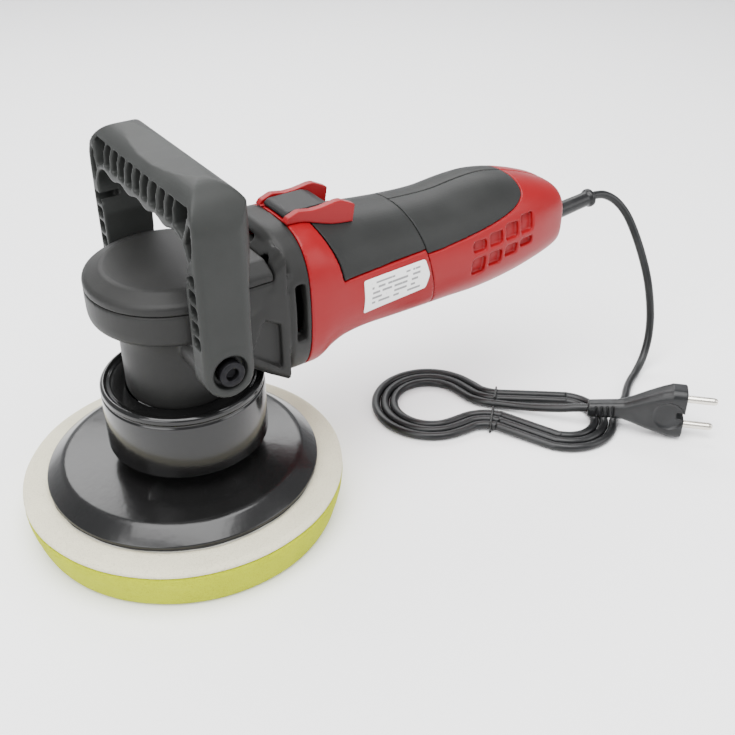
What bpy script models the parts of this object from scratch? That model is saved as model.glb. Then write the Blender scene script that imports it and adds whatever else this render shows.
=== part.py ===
"""Dual-action car polisher: every sub-part as its own closed solid.

Frame: origin on the output spindle's axis at the working face of the foam pad, +Z up along
the spindle, +X rearwards along the motor, +Y to the left.  All lengths below are in
millimetres and become metres when a mesh is made.
"""
import math

import bmesh
import bpy
from mathutils import Matrix, Vector

MM = 0.001
GAP = 0.3                       # clearance between touching pieces

# foam pad and backing plate, which spin on the eccentric
PAD_R = 90.0
PAD_FACE_R = 85.0
YELLOW_TOP = 24.0
CREAM_TOP = 27.8
PLATE_R = 75.5
PLATE_CROWN_R = 66.5
PLATE_TOP = 39.0
HUB_TOP = 46.0
ORBIT_R = 4.5
ORBIT_ANGLE = math.radians(155.0)
PAD_X = ORBIT_R * math.cos(ORBIT_ANGLE)
PAD_Y = ORBIT_R * math.sin(ORBIT_ANGLE)

# fixed shroud round the counterweight, and the gear head above it
SHROUD_R = 44.0
SHROUD_WALL = 2.6
SHROUD_BOTTOM = 51.0
SHROUD_TOP = 88.5
NECK_R = 30.0
HEAD_R = 43.5
HEAD_BOTTOM = 130.2
HEAD_SPLIT = 148.0
HEAD_TOP = 157.0

# motor line and body skin
MOTOR_Z = 125.0
FLANGE_X = 60.0
WALL = 2.5
GRIP_DEPTH = 2.0
SPLIT_X = 142.0                 # where the rear housing starts, at mid height
SPLIT_LEAN = 0.24               # how far the split leans forward per millimetre of height
SPLIT_Z = 121.0
BODY = (                        # x, centre height, half width, half height, squareness
    (60.0, 123.0, 38.0, 43.0, 2.9),
    (69.0, 123.0, 38.0, 42.5, 2.8),
    (77.0, 124.0, 37.4, 39.2, 2.6),
    (87.0, 124.0, 36.2, 36.6, 2.4),
    (102.0, 123.7, 35.2, 35.2, 2.3),
    (122.0, 122.4, 34.2, 34.3, 2.3),
    (142.0, 121.4, 33.4, 33.8, 2.3),
    (162.0, 121.1, 33.0, 33.6, 2.3),
    (182.0, 121.8, 32.8, 34.9, 2.3),
    (198.0, 122.4, 32.2, 34.6, 2.3),
    (214.0, 122.4, 30.8, 31.4, 2.3),
    (228.0, 122.0, 28.2, 26.6, 2.4),
    (240.0, 121.4, 24.6, 21.0, 2.5),
    (248.0, 121.0, 20.6, 16.2, 2.6),
    (252.0, 120.6, 16.4, 12.6, 2.6),
)
SKIN_POINTS = 28                # points round each station of the outer skin
HOLLOW_POINTS = 20              # and round the plainer inside

# bevel gear pair: a crown gear on the spindle over a pinion on the armature shaft
TOOTH_MODULE = 1.6
PINION_TEETH = 12
CROWN_TEETH = 36
PINION_R = TOOTH_MODULE * PINION_TEETH / 2
MESH_Z = MOTOR_Z + PINION_R
TOOTH_IN = 25.6                 # inner and outer ends of the crown teeth
TOOTH_OUT = 32.2

# loop handle
PIVOT_Z = 122.0
ARM_IN = 49.0
ARM_OUT = 62.0
ARM_FRONT = -13.0
ARM_REAR = 14.0
BAR_UNDER = 192.0
BAR_TOP = 214.0
EYE_R = 13.5

# slide switch
RAIL_Z = 149.8
RAIL_THICK = 1.2

# speed wheel on the left flank, standing a little out of its slot
DIAL_X = 232.0
DIAL_Y = 18.6
DIAL_Z = 121.0
DIAL_R = 11.0

# cord, folded hank and plug
CORD_R = 2.75
RELIEF_START = (250.0, 0.0, 111.6)
RELIEF_END = (298.0, 0.0, 116.0)
CORD_ROUTE = (
    (298.3, 0.0, 116.0), (302.0, -0.1, 116.3), (309.2, -1.6, 115.3), (315.6, -5.2, 111.6),
    (320.2, -10.4, 105.2), (322.8, -17.0, 96.0), (325.0, -26.6, 79.5), (326.8, -35.2, 60.0),
    (327.5, -41.3, 38.5), (325.0, -45.4, 22.0), (317.5, -49.8, 9.8), (306.5, -54.6, 4.0),
    (296.5, -59.2, 2.8), (287.0, -65.2, 2.8), (279.0, -71.2, 2.8), (269.6, -76.6, 2.8),
    (260.3, -81.4, 2.8), (254.1, -85.1, 2.8), (251.7, -87.3, 2.8),
)
CORD_STEP = 13.0                # distance between the points of the modelled cord
HANK_CENTRE = (197.0, -33.0)
HANK_ANGLE = math.radians(-45.0)
HANK_BASE = 0.2
HANK_TOP = 6.6
HANK_WAIST = 21.0               # half width where the hank is tied
HANK_LEFT = (-41.5, 39.0)       # where the round ends are centred, and their radii
HANK_RIGHT = (46.0, 34.0)
HANK_NEXT_R = 28.0              # one cord further in, past the end of the loose run
HANK_NECK_R = 17.0              # the hollow bend on each side of the tie
TAIL_U = 59.4                   # where the plug's strain relief starts along the hank
TAIL_Z = 12.8
PLUG_AXIS_Z = 18.2

# surface finishes: colour, metallic, roughness
CHARCOAL = ((0.055, 0.055, 0.052), 0.0, 0.55)
GLOSS_BLACK = ((0.012, 0.012, 0.013), 0.0, 0.16)
RED = ((0.42, 0.018, 0.022), 0.0, 0.38)
SOFT_BLACK = ((0.035, 0.036, 0.037), 0.0, 0.72)
SWITCH_BLACK = ((0.02, 0.02, 0.02), 0.0, 0.45)
LABEL_WHITE = ((0.75, 0.75, 0.74), 0.0, 0.4)
YELLOW_FOAM = ((0.58, 0.60, 0.05), 0.0, 0.95)
CREAM_FOAM = ((0.52, 0.50, 0.40), 0.0, 0.95)
LOOP_WHITE = ((0.6, 0.6, 0.58), 0.0, 0.95)
HOOK_BLACK = ((0.02, 0.02, 0.02), 0.0, 0.9)
STEEL = ((0.45, 0.45, 0.46), 1.0, 0.32)
DARK_STEEL = ((0.18, 0.18, 0.19), 1.0, 0.42)
LAMINATION = ((0.30, 0.30, 0.31), 1.0, 0.5)
COPPER = ((0.72, 0.33, 0.16), 1.0, 0.35)
BRASS = ((0.75, 0.56, 0.24), 1.0, 0.35)
CARBON = ((0.03, 0.03, 0.03), 0.0, 0.7)
BOARD_GREEN = ((0.03, 0.2, 0.08), 0.0, 0.5)
CORD_BLACK = ((0.03, 0.03, 0.03), 0.0, 0.45)
PLUG_BLACK = ((0.03, 0.03, 0.032), 0.0, 0.6)
NICKEL = ((0.7, 0.68, 0.62), 1.0, 0.25)


# ---------------------------------------------------------------- tools

def clear_scene():
    for obj in list(bpy.data.objects):
        bpy.data.objects.remove(obj, do_unlink=True)


def finish_material(name, finish):
    colour, metallic, roughness = finish
    material = bpy.data.materials.new(name)
    material.use_nodes = True
    shader = material.node_tree.nodes["Principled BSDF"]
    shader.inputs["Base Color"].default_value = (*colour, 1.0)
    shader.inputs["Metallic"].default_value = metallic
    shader.inputs["Roughness"].default_value = roughness
    material.diffuse_color = (*colour, 1.0)
    return material


def solid(name, points, faces, finish):
    """One named object from points in millimetres, with its faces turned outwards."""
    mesh = bpy.data.meshes.new(name)
    bm = bmesh.new()
    made = [bm.verts.new(Vector(p) * MM) for p in points]
    for face in faces:
        bm.faces.new([made[i] for i in face])
    bmesh.ops.recalc_face_normals(bm, faces=bm.faces)
    bm.to_mesh(mesh)
    bm.free()
    obj = bpy.data.objects.new(name, mesh)
    bpy.context.scene.collection.objects.link(obj)
    mesh.materials.append(finish_material(name, finish))
    smooth(obj)
    return obj


def smooth(obj, angle=32.0):
    obj.data.shade_smooth()
    obj.data.set_sharp_from_angle(angle=math.radians(angle))


def cap_and_bridge(rings, closed_ends=True):
    """Faces of a tube through rings of equal count, given as index lists."""
    faces = []
    for low, high in zip(rings, rings[1:]):
        count = len(low)
        for i in range(count):
            j = (i + 1) % count
            faces.append((low[i], low[j], high[j], high[i]))
    if closed_ends:
        faces.append(tuple(reversed(rings[0])))
        faces.append(tuple(rings[-1]))
    return faces


def loft(name, sections, finish, loop=False):
    """A solid through closed sections; with loop, the last one joins the first."""
    points = [p for section in sections for p in section]
    count = len(sections[0])
    rings = [list(range(k * count, (k + 1) * count)) for k in range(len(sections))]
    if loop:
        rings.append(rings[0])
    return solid(name, points, cap_and_bridge(rings, not loop), finish)


def on_axis(axis, along, a, b):
    """A point at `along` on an axis, with a and b across it."""
    if axis == "X":
        return (along, a, b)
    if axis == "Y":
        return (a, along, b)
    return (a, b, along)


def turned(name, outline, finish, centre=(0.0, 0.0), axis="Z", segments=48):
    """Turns (radius, along) points about an axis; a closed outline off the axis is a ring."""
    ca, cb = centre
    points = []
    rows = []
    for radius, along in outline:
        if radius < 1e-6:
            rows.append([len(points)])
            points.append(on_axis(axis, along, ca, cb))
            continue
        rows.append(list(range(len(points), len(points) + segments)))
        for k in range(segments):
            angle = 2 * math.pi * k / segments
            points.append(on_axis(axis, along, ca + radius * math.cos(angle),
                                  cb + radius * math.sin(angle)))
    if len(rows[0]) > 1:
        rows.append(rows[0])
    faces = []
    for low, high in zip(rows, rows[1:]):
        for i in range(segments):
            j = (i + 1) % segments
            if len(low) == 1:
                faces.append((low[0], high[j], high[i]))
            elif len(high) == 1:
                faces.append((low[i], low[j], high[0]))
            else:
                faces.append((low[i], low[j], high[j], high[i]))
    return solid(name, points, faces, finish)


def rod(name, radius, start, end, finish, centre=(0.0, 0.0), axis="Z", segments=24):
    outline = ((0.0, start), (radius, start), (radius, end), (0.0, end))
    return turned(name, outline, finish, centre, axis, segments)


def collar(name, inner, outer, start, end, finish, centre=(0.0, 0.0), axis="Z", segments=24):
    outline = ((outer, start), (outer, end), (inner, end), (inner, start))
    return turned(name, outline, finish, centre, axis, segments)


def prism(name, outline, start, end, finish, axis="Z"):
    sections = [[on_axis(axis, along, a, b) for a, b in outline] for along in (start, end)]
    return loft(name, sections, finish)


def block(name, low, high, finish):
    outline = ((low[0], low[1]), (high[0], low[1]), (high[0], high[1]), (low[0], high[1]))
    return prism(name, outline, low[2], high[2], finish)


def combine(obj, tool, operation):
    """Applies an exact Boolean and removes the tool."""
    modifier = obj.modifiers.new("combine", "BOOLEAN")
    modifier.operation = operation
    modifier.solver = "EXACT"
    modifier.object = tool
    graph = bpy.context.evaluated_depsgraph_get()
    mesh = bpy.data.meshes.new_from_object(obj.evaluated_get(graph))
    obj.modifiers.clear()
    old = obj.data
    name = old.name
    obj.data = mesh
    bpy.data.meshes.remove(old)
    obj.data.name = name
    bpy.data.objects.remove(tool, do_unlink=True)
    while len(obj.data.materials) > 1:
        obj.data.materials.pop()
    for polygon in obj.data.polygons:
        polygon.material_index = 0
    smooth(obj)
    return obj


def cut(obj, *tools):
    for tool in tools:
        combine(obj, tool, "DIFFERENCE")
    return obj


def join(obj, *tools):
    for tool in tools:
        combine(obj, tool, "UNION")
    return obj


def place(obj, angle_z=0.0, shift=(0.0, 0.0, 0.0), angle_x=0.0, angle_y=0.0):
    """Turns a mesh about the frame's axes, then shifts it by millimetres."""
    turn = Matrix.Rotation(angle_z, 4, "Z") @ Matrix.Rotation(angle_y, 4, "Y")
    turn = turn @ Matrix.Rotation(angle_x, 4, "X")
    obj.data.transform(Matrix.Translation(Vector(shift) * MM) @ turn)
    return obj


def superellipse(ca, cb, ra, rb, power, count):
    outline = []
    for k in range(count):
        angle = 2 * math.pi * k / count
        c, s = math.cos(angle), math.sin(angle)
        outline.append((ca + ra * math.copysign(abs(c) ** (2 / power), c),
                        cb + rb * math.copysign(abs(s) ** (2 / power), s)))
    return outline


def rounded_outline(ra, rb, radius, steps=4, ca=0.0, cb=0.0):
    outline = []
    for quarter, (sa, sb) in enumerate(((1, 1), (-1, 1), (-1, -1), (1, -1))):
        for k in range(steps + 1):
            angle = math.pi / 2 * (quarter + k / steps)
            outline.append((ca + sa * (ra - radius) + radius * math.cos(angle),
                            cb + sb * (rb - radius) + radius * math.sin(angle)))
    return outline


# ---------------------------------------------------------------- pad and plate

def build_pad():
    centre = (PAD_X, PAD_Y)
    turned("yellow_foam", ((0.0, 0.0), (PAD_FACE_R - 3, 0.0), (PAD_FACE_R, 2.0), (88.0, 12.0),
                           (PAD_R, YELLOW_TOP), (0.0, YELLOW_TOP)), YELLOW_FOAM, centre, segments=44)
    base = YELLOW_TOP + GAP
    turned("cream_foam", ((0.0, base), (PAD_R, base), (PAD_R - 0.8, base + 2.0),
                          (PAD_R - 3.5, CREAM_TOP), (0.0, CREAM_TOP)), CREAM_FOAM, centre, segments=44)
    rod("loop_disc", 74.0, CREAM_TOP + GAP, CREAM_TOP + 1.0, LOOP_WHITE, centre, segments=40)
    rod("hook_disc", 75.0, CREAM_TOP + 1.3, CREAM_TOP + 2.2, HOOK_BLACK, centre, segments=40)


def build_backing_plate():
    """Moulded plate with a bevelled rim, a raised hub and a recess for its screw."""
    centre = (PAD_X, PAD_Y)
    base = CREAM_TOP + 2.5
    outline = ((8.4, base), (PLATE_R - 0.6, base), (PLATE_R, base + 0.8), (PLATE_R, base + 2.0),
               (PLATE_CROWN_R, PLATE_TOP - 0.6), (PLATE_CROWN_R - 1.6, PLATE_TOP),
               (24.0, PLATE_TOP + 1.8), (20.0, PLATE_TOP + 3.2), (16.0, HUB_TOP),
               (4.4, HUB_TOP), (4.4, base + 6.0), (8.4, base + 6.0))
    turned("backing_plate", outline, GLOSS_BLACK, centre, segments=40)
    head = base + 0.6
    turned("pad_screw", ((0.0, head), (8.0, head), (8.0, base + 5.7), (4.0, base + 5.7),
                         (4.0, 60.0), (0.0, 60.0)), STEEL, centre, segments=20)


def build_eccentric():
    """Hub with an offset bearing seat, its counterweight, and the pad's own short spindle."""
    centre = (PAD_X, PAD_Y)
    hub = turned("eccentric_hub", ((0.0, 76.3), (6.3, 76.3), (6.3, 84.0), (15.0, 84.0), (19.0, 80.0),
                                   (19.0, 56.0), (0.0, 56.0)), DARK_STEEL, segments=24)
    cut(hub, rod("seat", 14.3, 50.0, 72.0, STEEL, centre, segments=24),
        rod("spindle_seat", 6.3, 74.0, 90.0, STEEL, segments=24))
    collar("pad_bearing", 8.2, 14.0, 58.5, 71.7, STEEL, centre, segments=24)
    turned("pad_spindle", ((4.3, HUB_TOP + GAP), (12.0, HUB_TOP + GAP), (12.0, 54.0), (7.9, 55.0),
                           (7.9, 71.0), (4.3, 71.0)), STEEL, centre, segments=24)
    outline = []
    for k in range(13):
        angle = ORBIT_ANGLE + math.pi + math.radians(-75 + 150 * k / 12)
        outline.append((38.0 * math.cos(angle), 38.0 * math.sin(angle)))
    for k in range(13):
        angle = ORBIT_ANGLE + math.pi + math.radians(75 - 150 * k / 12)
        outline.append((19.3 * math.cos(angle), 19.3 * math.sin(angle)))
    prism("counterweight", outline, 60.0, 78.0, LAMINATION)


def build_shroud():
    """Glossy collar that hides the counterweight, with a bead round its dished top."""
    r, top = SHROUD_R, SHROUD_TOP
    outline = ((r - 1.0, SHROUD_BOTTOM), (r, SHROUD_BOTTOM + 1.0), (r, top - 5.4), (r - 0.9, top - 4.3),
               (r, top - 3.2), (r, top - 1.4), (r - 1.4, top), (r - 3.0, top - 0.4),
               (r - 5.0, top - 1.6), (NECK_R + 0.3, top - 2.4), (NECK_R + 0.3, top - 4.6),
               (r - SHROUD_WALL - 1.5, top - 4.6), (r - SHROUD_WALL, top - 6.5),
               (r - SHROUD_WALL, SHROUD_BOTTOM))
    turned("shroud", outline, GLOSS_BLACK, segments=40)


# ---------------------------------------------------------------- gear head

def nose_outline(radius, half_width, rear):
    """Round nose about the spindle that runs back to a straight rear edge."""
    outline = [(rear, -half_width)]
    start = math.asin(half_width / radius)
    for k in range(21):
        angle = -start - (2 * math.pi - 2 * start) * (k / 20)
        outline.append((radius * math.cos(angle), radius * math.sin(angle)))
    outline[1] = (radius * math.cos(start), -half_width)
    outline[-1] = (radius * math.cos(start), half_width)
    outline.append((rear, half_width))
    return outline


def nose_solid(name, levels, finish):
    """Stacked nose outlines: (radius, half width, rear, height)."""
    sections = [[(x, y, z) for x, y in nose_outline(r, w, rear)] for r, w, rear, z in levels]
    return loft(name, sections, finish)


def screw_places():
    return [(side * 25.5, 123.0 + up * 30.0) for side in (-1, 1) for up in (-1, 1)]


def build_gear_housing():
    """Cast head: neck, round gear case, side bosses for the handle, and the motor flange."""
    head = nose_solid("gear_housing", ((HEAD_R - 2.5, 34.0, 50.0, HEAD_BOTTOM),
                                       (HEAD_R - 0.4, 35.5, 50.0, HEAD_BOTTOM + 2.2),
                                       (HEAD_R, 36.0, 50.0, HEAD_BOTTOM + 5.0),
                                       (HEAD_R, 36.0, 50.0, HEAD_SPLIT - GAP)), CHARCOAL)
    neck = turned("neck", ((0.0, SHROUD_TOP - 6.0), (NECK_R, SHROUD_TOP - 6.0), (NECK_R, 118.0),
                           (NECK_R + 1.2, 124.0), (NECK_R + 4.0, 131.5), (0.0, 131.5)), CHARCOAL)
    flange_rings = []
    for x, grow in ((45.4, -3.0), (47.6, -0.8), (50.2, 0.0), (FLANGE_X - GAP, 0.0)):
        outline = superellipse(0.0, 123.0, 38.0 + grow, 43.0 + grow, 2.9, SKIN_POINTS)
        flange_rings.append([(x, y, z) for y, z in outline])
    flange = loft("flange", flange_rings, CHARCOAL)
    web = prism("web", ((10.0, 97.0), (30.0, 90.2), (47.0, 90.2), (47.0, 140.0), (10.0, 140.0)), -19.0, 19.0,
                CHARCOAL, axis="Y")
    join(head, neck, flange, web)
    for side in (-1, 1):
        join(head, rod("boss", 11.5, min(side * 20.0, side * 48.6), max(side * 20.0, side * 48.6),
                       CHARCOAL, (0.0, PIVOT_Z), "Y", 28))
    cavity = turned("cavity", ((0.0, 80.0), (NECK_R - 3.2, 80.0), (NECK_R - 3.2, 100.0), (19.4, 100.0),
                               (19.4, 112.3), (24.0, 112.3), (24.0, 132.6), (36.5, 132.6),
                               (36.5, 152.0), (0.0, 152.0)), CHARCOAL)
    shaft_bore = turned("shaft_bore", ((0.0, 8.0), (13.4, 8.0), (13.4, 39.6), (11.3, 39.6),
                                       (11.3, 48.0), (33.0, 48.0), (33.0, 70.0), (0.0, 70.0)),
                        CHARCOAL, (0.0, MOTOR_Z), "X", 32)
    cut(head, cavity, shaft_bore)
    for side in (-1, 1):
        near, far = sorted((side * 30.0, side * 44.0))
        cut(head, block("outlet", (51.3, near, 108.3), (57.1, far, 141.2), CHARCOAL))
        near, far = sorted((side * 26.0, side * 52.0))
        cut(head, rod("bolt_hole", 4.3, near, far, CHARCOAL, (0.0, PIVOT_Z), "Y", 20))
    for y, z in screw_places():
        cut(head, rod("screw_hole", 2.3, 30.0, 70.0, CHARCOAL, (y, z), "X", 14))
        cut(head, rod("head_seat", 4.4, 30.0, 51.0, CHARCOAL, (y, z), "X", 16))
    return head


def build_head_cover():
    """Cap over the gear case: a flat crown inside a sloping rim."""
    cover = nose_solid("head_cover", ((HEAD_R, 36.0, 41.6, HEAD_SPLIT),
                                      (HEAD_R, 36.0, 41.6, HEAD_SPLIT + 3.4),
                                      (HEAD_R - 1.6, 34.6, 41.6, HEAD_SPLIT + 5.4),
                                      (HEAD_R - 8.0, 29.0, 41.6, HEAD_TOP - 0.8),
                                      (HEAD_R - 10.5, 26.8, 41.0, HEAD_TOP)), CHARCOAL)
    recess = turned("recess", ((0.0, 140.0), (36.5, 140.0), (36.5, 150.4), (11.3, 150.4),
                               (11.3, 154.2), (0.0, 154.2)), CHARCOAL, segments=36)
    flange_room = block("room", (39.4, -50.0, 140.0), (70.0, 50.0, 170.0), CHARCOAL)
    return cut(cover, recess, flange_room)


def build_spindle():
    turned("spindle", ((0.0, 76.6), (6.0, 76.6), (6.0, 97.0), (8.0, 98.0), (8.0, 152.0), (7.0, 153.6),
                       (0.0, 153.6)), STEEL, segments=28)
    collar("lower_spindle_bearing", 8.2, 19.1, 101.0, 112.0, STEEL, segments=40)
    collar("upper_spindle_bearing", 8.2, 11.0, 147.0, 153.8, STEEL, segments=24)
    turned("bearing_retainer", ((11.5, 96.4), (26.4, 96.4), (26.4, 99.4), (20.0, 99.7), (11.5, 99.7)),
           DARK_STEEL, segments=24)


def gear_teeth(name, sections_of, count, offset, finish, body):
    """Joins `count` equal teeth to a gear body, one lofted solid for each."""
    for k in range(count):
        angle = 2 * math.pi * (k + offset) / count
        tooth = loft("tooth", sections_of(angle), finish)
        join(body, tooth)
    body.name = name
    return body


def crown_tooth(angle):
    """Straight tooth under the crown gear, narrower at its tip."""
    sections = []
    for radius in (TOOTH_IN, TOOTH_OUT):
        section = []
        for half, height in ((1.35, MESH_Z + 3.0), (1.25, MESH_Z + 1.6), (0.55, MESH_Z - 1.3)):
            section.append((half, height))
        profile = section + [(-half, height) for half, height in reversed(section)]
        ring = []
        for across, height in profile:
            x = radius * math.cos(angle) - across * math.sin(angle)
            y = radius * math.sin(angle) + across * math.cos(angle)
            ring.append((x, y, height))
        sections.append(ring)
    return sections


def pinion_tooth(angle):
    sections = []
    for x in (TOOTH_IN + 0.2, TOOTH_OUT - 0.2):
        ring = []
        for across, radius in ((1.35, PINION_R - 2.6), (0.95, PINION_R), (0.5, PINION_R + 1.3),
                               (-0.5, PINION_R + 1.3), (-0.95, PINION_R), (-1.35, PINION_R - 2.6)):
            y = radius * math.cos(angle) - across * math.sin(angle)
            z = radius * math.sin(angle) + across * math.cos(angle)
            ring.append((x, y, MOTOR_Z + z))
        sections.append(ring)
    return sections


def build_gears():
    rim, web, hub = TOOTH_OUT + 1.2, 14.0, 8.2
    crown = turned("crown_gear", ((rim, MESH_Z + 2.2), (rim, MESH_Z + 7.0), (web, MESH_Z + 7.0),
                                  (web, MESH_Z + 11.0), (hub, MESH_Z + 11.0), (hub, MESH_Z + 2.2)),
                   DARK_STEEL, segments=36)
    gear_teeth("crown_gear", crown_tooth, CROWN_TEETH, 0.5, DARK_STEEL, crown)
    pinion = collar("pinion_gear", 4.3, PINION_R - 2.0, TOOTH_IN - 2.0, TOOTH_OUT + 3.0, DARK_STEEL,
                    (0.0, MOTOR_Z), "X", 12)
    gear_teeth("pinion_gear", pinion_tooth, PINION_TEETH, 0.0, DARK_STEEL, pinion)


# ---------------------------------------------------------------- motor

def build_armature():
    line = (0.0, MOTOR_Z)
    turned("armature_shaft", ((0.0, 23.0), (4.0, 23.0), (4.0, 74.0), (6.0, 75.0), (6.0, 146.0),
                              (4.0, 147.0), (4.0, 155.0), (0.0, 155.0)), STEEL, line, "X", 20)
    collar("front_armature_bearing", 4.3, 11.0, 40.2, 47.4, STEEL, line, "X", 28)
    collar("rear_armature_bearing", 4.3, 9.5, 148.2, 153.4, STEEL, line, "X", 28)
    collar("commutator", 6.3, 11.0, 129.0, 144.0, COPPER, line, "X", 32)
    build_armature_core(line)
    build_fan(line)


def build_armature_core(line):
    """Slotted iron core with the wire lying in its slots."""
    outline = []
    slots = 12
    for k in range(slots):
        for turn, radius in ((-0.40, 19.0), (0.16, 19.0), (0.20, 15.0), (0.56, 15.0)):
            angle = 2 * math.pi * (k + turn) / slots
            outline.append((radius * math.cos(angle), MOTOR_Z + radius * math.sin(angle)))
    core = prism("armature_core", outline, 82.0, 120.0, LAMINATION, axis="X")
    ends = turned("ends", ((0.0, 76.5), (12.0, 76.5), (14.4, 79.0), (14.4, 123.0), (12.0, 125.5),
                           (0.0, 125.5)), COPPER, line, "X", 24)
    cut(join(core, ends), rod("bore", 6.3, 70.0, 130.0, STEEL, line, "X", 20))


def build_fan(line):
    fan = turned("cooling_fan", ((4.3, 62.0), (10.0, 62.0), (12.0, 64.0), (28.0, 64.0), (28.0, 65.6),
                                 (12.0, 65.6), (10.0, 72.0), (4.3, 72.0)), SWITCH_BLACK, line, "X", 22)
    for k in range(11):
        blade = block("blade", (65.0, 9.0, -0.7), (71.0, 27.6, 0.7), SWITCH_BLACK)
        place(blade, angle_x=2 * math.pi * k / 11, shift=(0.0, 0.0, MOTOR_Z))
        join(fan, blade)


def build_stator():
    line = (0.0, MOTOR_Z)
    collar("stator_core", 19.8, 24.4, 82.0, 120.0, LAMINATION, line, "X", 36)
    for name, side in (("field_coil_left", 1), ("field_coil_right", -1)):
        outline = []
        for radius, turn in ((23.6, 1), (20.2, -1)):
            for k in range(9):
                angle = math.radians((-48 + 12 * k) * turn)
                outline.append((side * radius * math.cos(angle), MOTOR_Z + radius * math.sin(angle)))
        prism(name, outline, 120.4, 127.4, COPPER, axis="X")


def build_brushes():
    for name, side in (("left", 1), ("right", -1)):
        inner, outer = sorted((side * 11.4, side * 20.5))
        block("carbon_brush_" + name, (133.0, inner, MOTOR_Z - 3.0), (140.0, outer, MOTOR_Z + 3.0),
              CARBON)
        inner, outer = sorted((side * 14.0, side * 24.0))
        holder = block("brush_holder_" + name, (131.2, inner, MOTOR_Z - 4.8),
                       (141.8, outer, MOTOR_Z + 4.8), BRASS)
        inner, outer = sorted((side * 13.0, side * 22.8))
        cut(holder, block("room", (132.6, inner, MOTOR_Z - 3.4), (140.4, outer, MOTOR_Z + 3.4), BRASS))
    collar("bearing_bracket", 9.8, 24.0, 148.6, 152.6, SWITCH_BLACK, (0.0, MOTOR_Z), "X", 24)


# ---------------------------------------------------------------- body housings

def body_at(x):
    """Centre height, half width, half height and squareness at x, on a smooth curve."""
    for k in range(len(BODY) - 1):
        if x <= BODY[k + 1][0]:
            break
    span = BODY[k + 1][0] - BODY[k][0]
    t = (x - BODY[k][0]) / span
    before = BODY[max(k - 1, 0)]
    after = BODY[min(k + 2, len(BODY) - 1)]
    values = []
    for n in range(1, 5):
        slope_a = (BODY[k + 1][n] - before[n]) / (BODY[k + 1][0] - before[0]) * span
        slope_b = (after[n] - BODY[k][n]) / (after[0] - BODY[k][0]) * span
        a, b = BODY[k][n], BODY[k + 1][n]
        values.append((2 * t ** 3 - 3 * t ** 2 + 1) * a + (t ** 3 - 2 * t ** 2 + t) * slope_a
                      + (3 * t ** 2 - 2 * t ** 3) * b + (t ** 3 - t ** 2) * slope_b)
    return values


def skin(name, x_start, x_end, inset, finish, steps=18, count=SKIN_POINTS):
    """The body's outer shape between two stations, moved inwards by the inset."""
    sections = []
    for k in range(steps + 1):
        x = x_start + (x_end - x_start) * k / steps
        cz, ry, rz, power = body_at(min(max(x, BODY[0][0]), BODY[-1][0]))
        outline = superellipse(0.0, cz, ry - inset, rz - inset, power, count)
        sections.append([(x, y, z) for y, z in outline])
    return loft(name, sections, finish)


def split_x(z):
    return SPLIT_X - (z - SPLIT_Z) * SPLIT_LEAN


def side_cutter(name, outline, low=-60.0, high=60.0):
    return prism(name, outline, low, high, RED, axis="Y")


def ahead_of_split(offset):
    return ((30.0, 60.0), (split_x(60.0) + offset, 60.0), (split_x(190.0) + offset, 190.0),
            (30.0, 190.0))


def behind_split(offset):
    return ((split_x(60.0) + offset, 60.0), (300.0, 60.0), (300.0, 190.0),
            (split_x(190.0) + offset, 190.0))


def grip_region(grow):
    """Side view of the soft skin on the motor housing."""
    return ((82.0 - grow, 135.0 - grow), (SPLIT_X + 8.0, 136.2 - grow), (SPLIT_X + 8.0, 180.0),
            (72.0 - grow, 180.0), (73.0 - grow, 166.0), (77.5 - grow, 154.0), (80.5 - grow, 145.0))


def rear_grip_region(grow):
    """Side view of the soft skin on the rear housing, sweeping up to the tail."""
    return ((120.0, 133.0 - grow), (150.0, 133.2 - grow), (172.0, 135.4 - grow), (192.0, 138.6 - grow),
            (207.0, 142.4 - grow), (215.0 + grow, 147.0 - grow), (217.0 + grow, 154.0),
            (214.0 + grow, 180.0), (120.0, 180.0))


def soft_skin(name, x_start, x_end, region, steps):
    """A shell GRIP_DEPTH thick over one region of the body."""
    shell = skin(name, x_start, x_end, 0.0, SOFT_BLACK, steps)
    cut(shell, skin("inner", x_start - 2.0, x_end + 2.0, GRIP_DEPTH, SOFT_BLACK, steps))
    return combine(shell, side_cutter("region", region), "INTERSECT")


def seat_for_skin(x_start, x_end, region, steps):
    """The room that a soft skin and its clearance take out of a housing."""
    room = skin("seat", x_start, x_end, -3.0, RED, steps)
    cut(room, skin("core", x_start - 2.0, x_end + 2.0, GRIP_DEPTH + GAP, RED, steps))
    return combine(room, side_cutter("seat_region", region), "INTERSECT")


def build_motor_housing():
    housing = skin("motor_housing", FLANGE_X, 156.0, 0.0, RED, 10)
    hollow = skin("hollow", FLANGE_X - 2.0, 158.0, WALL + GRIP_DEPTH, RED, 6, HOLLOW_POINTS)
    for y, z in screw_places():
        cut(hollow, rod("post", 5.0, 50.0, 80.0, RED, (y, z), "X", 14))
    cut(housing, hollow)
    combine(housing, side_cutter("front_half", ahead_of_split(-GAP / 2)), "INTERSECT")
    cut(housing, seat_for_skin(FLANGE_X + 2.0, 156.0, grip_region(GAP), 9))
    for y, z in screw_places():
        cut(housing, rod("pilot", 2.3, 55.0, 76.0, RED, (y, z), "X", 14))
    cut(housing, block("stem_slot", (73.5, -3.4, 140.0), (88.5, 3.4, 175.0), RED), rail_channel())
    grip = soft_skin("motor_grip", FLANGE_X + 2.0, 156.0, grip_region(0.0), 9)
    combine(grip, side_cutter("front_half", ahead_of_split(-GAP / 2)), "INTERSECT")
    cut(grip, block("stem_slot", (70.0, -16.4, 140.0), (102.5, 16.4, 180.0), RED))
    build_label()
    return housing


def rail_channel():
    """Groove inside the roof of the housings where the switch rail slides."""
    return block("channel", (73.8, -3.3, 146.0), (168.0, 3.3, RAIL_Z + RAIL_THICK + 0.4), RED)


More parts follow.
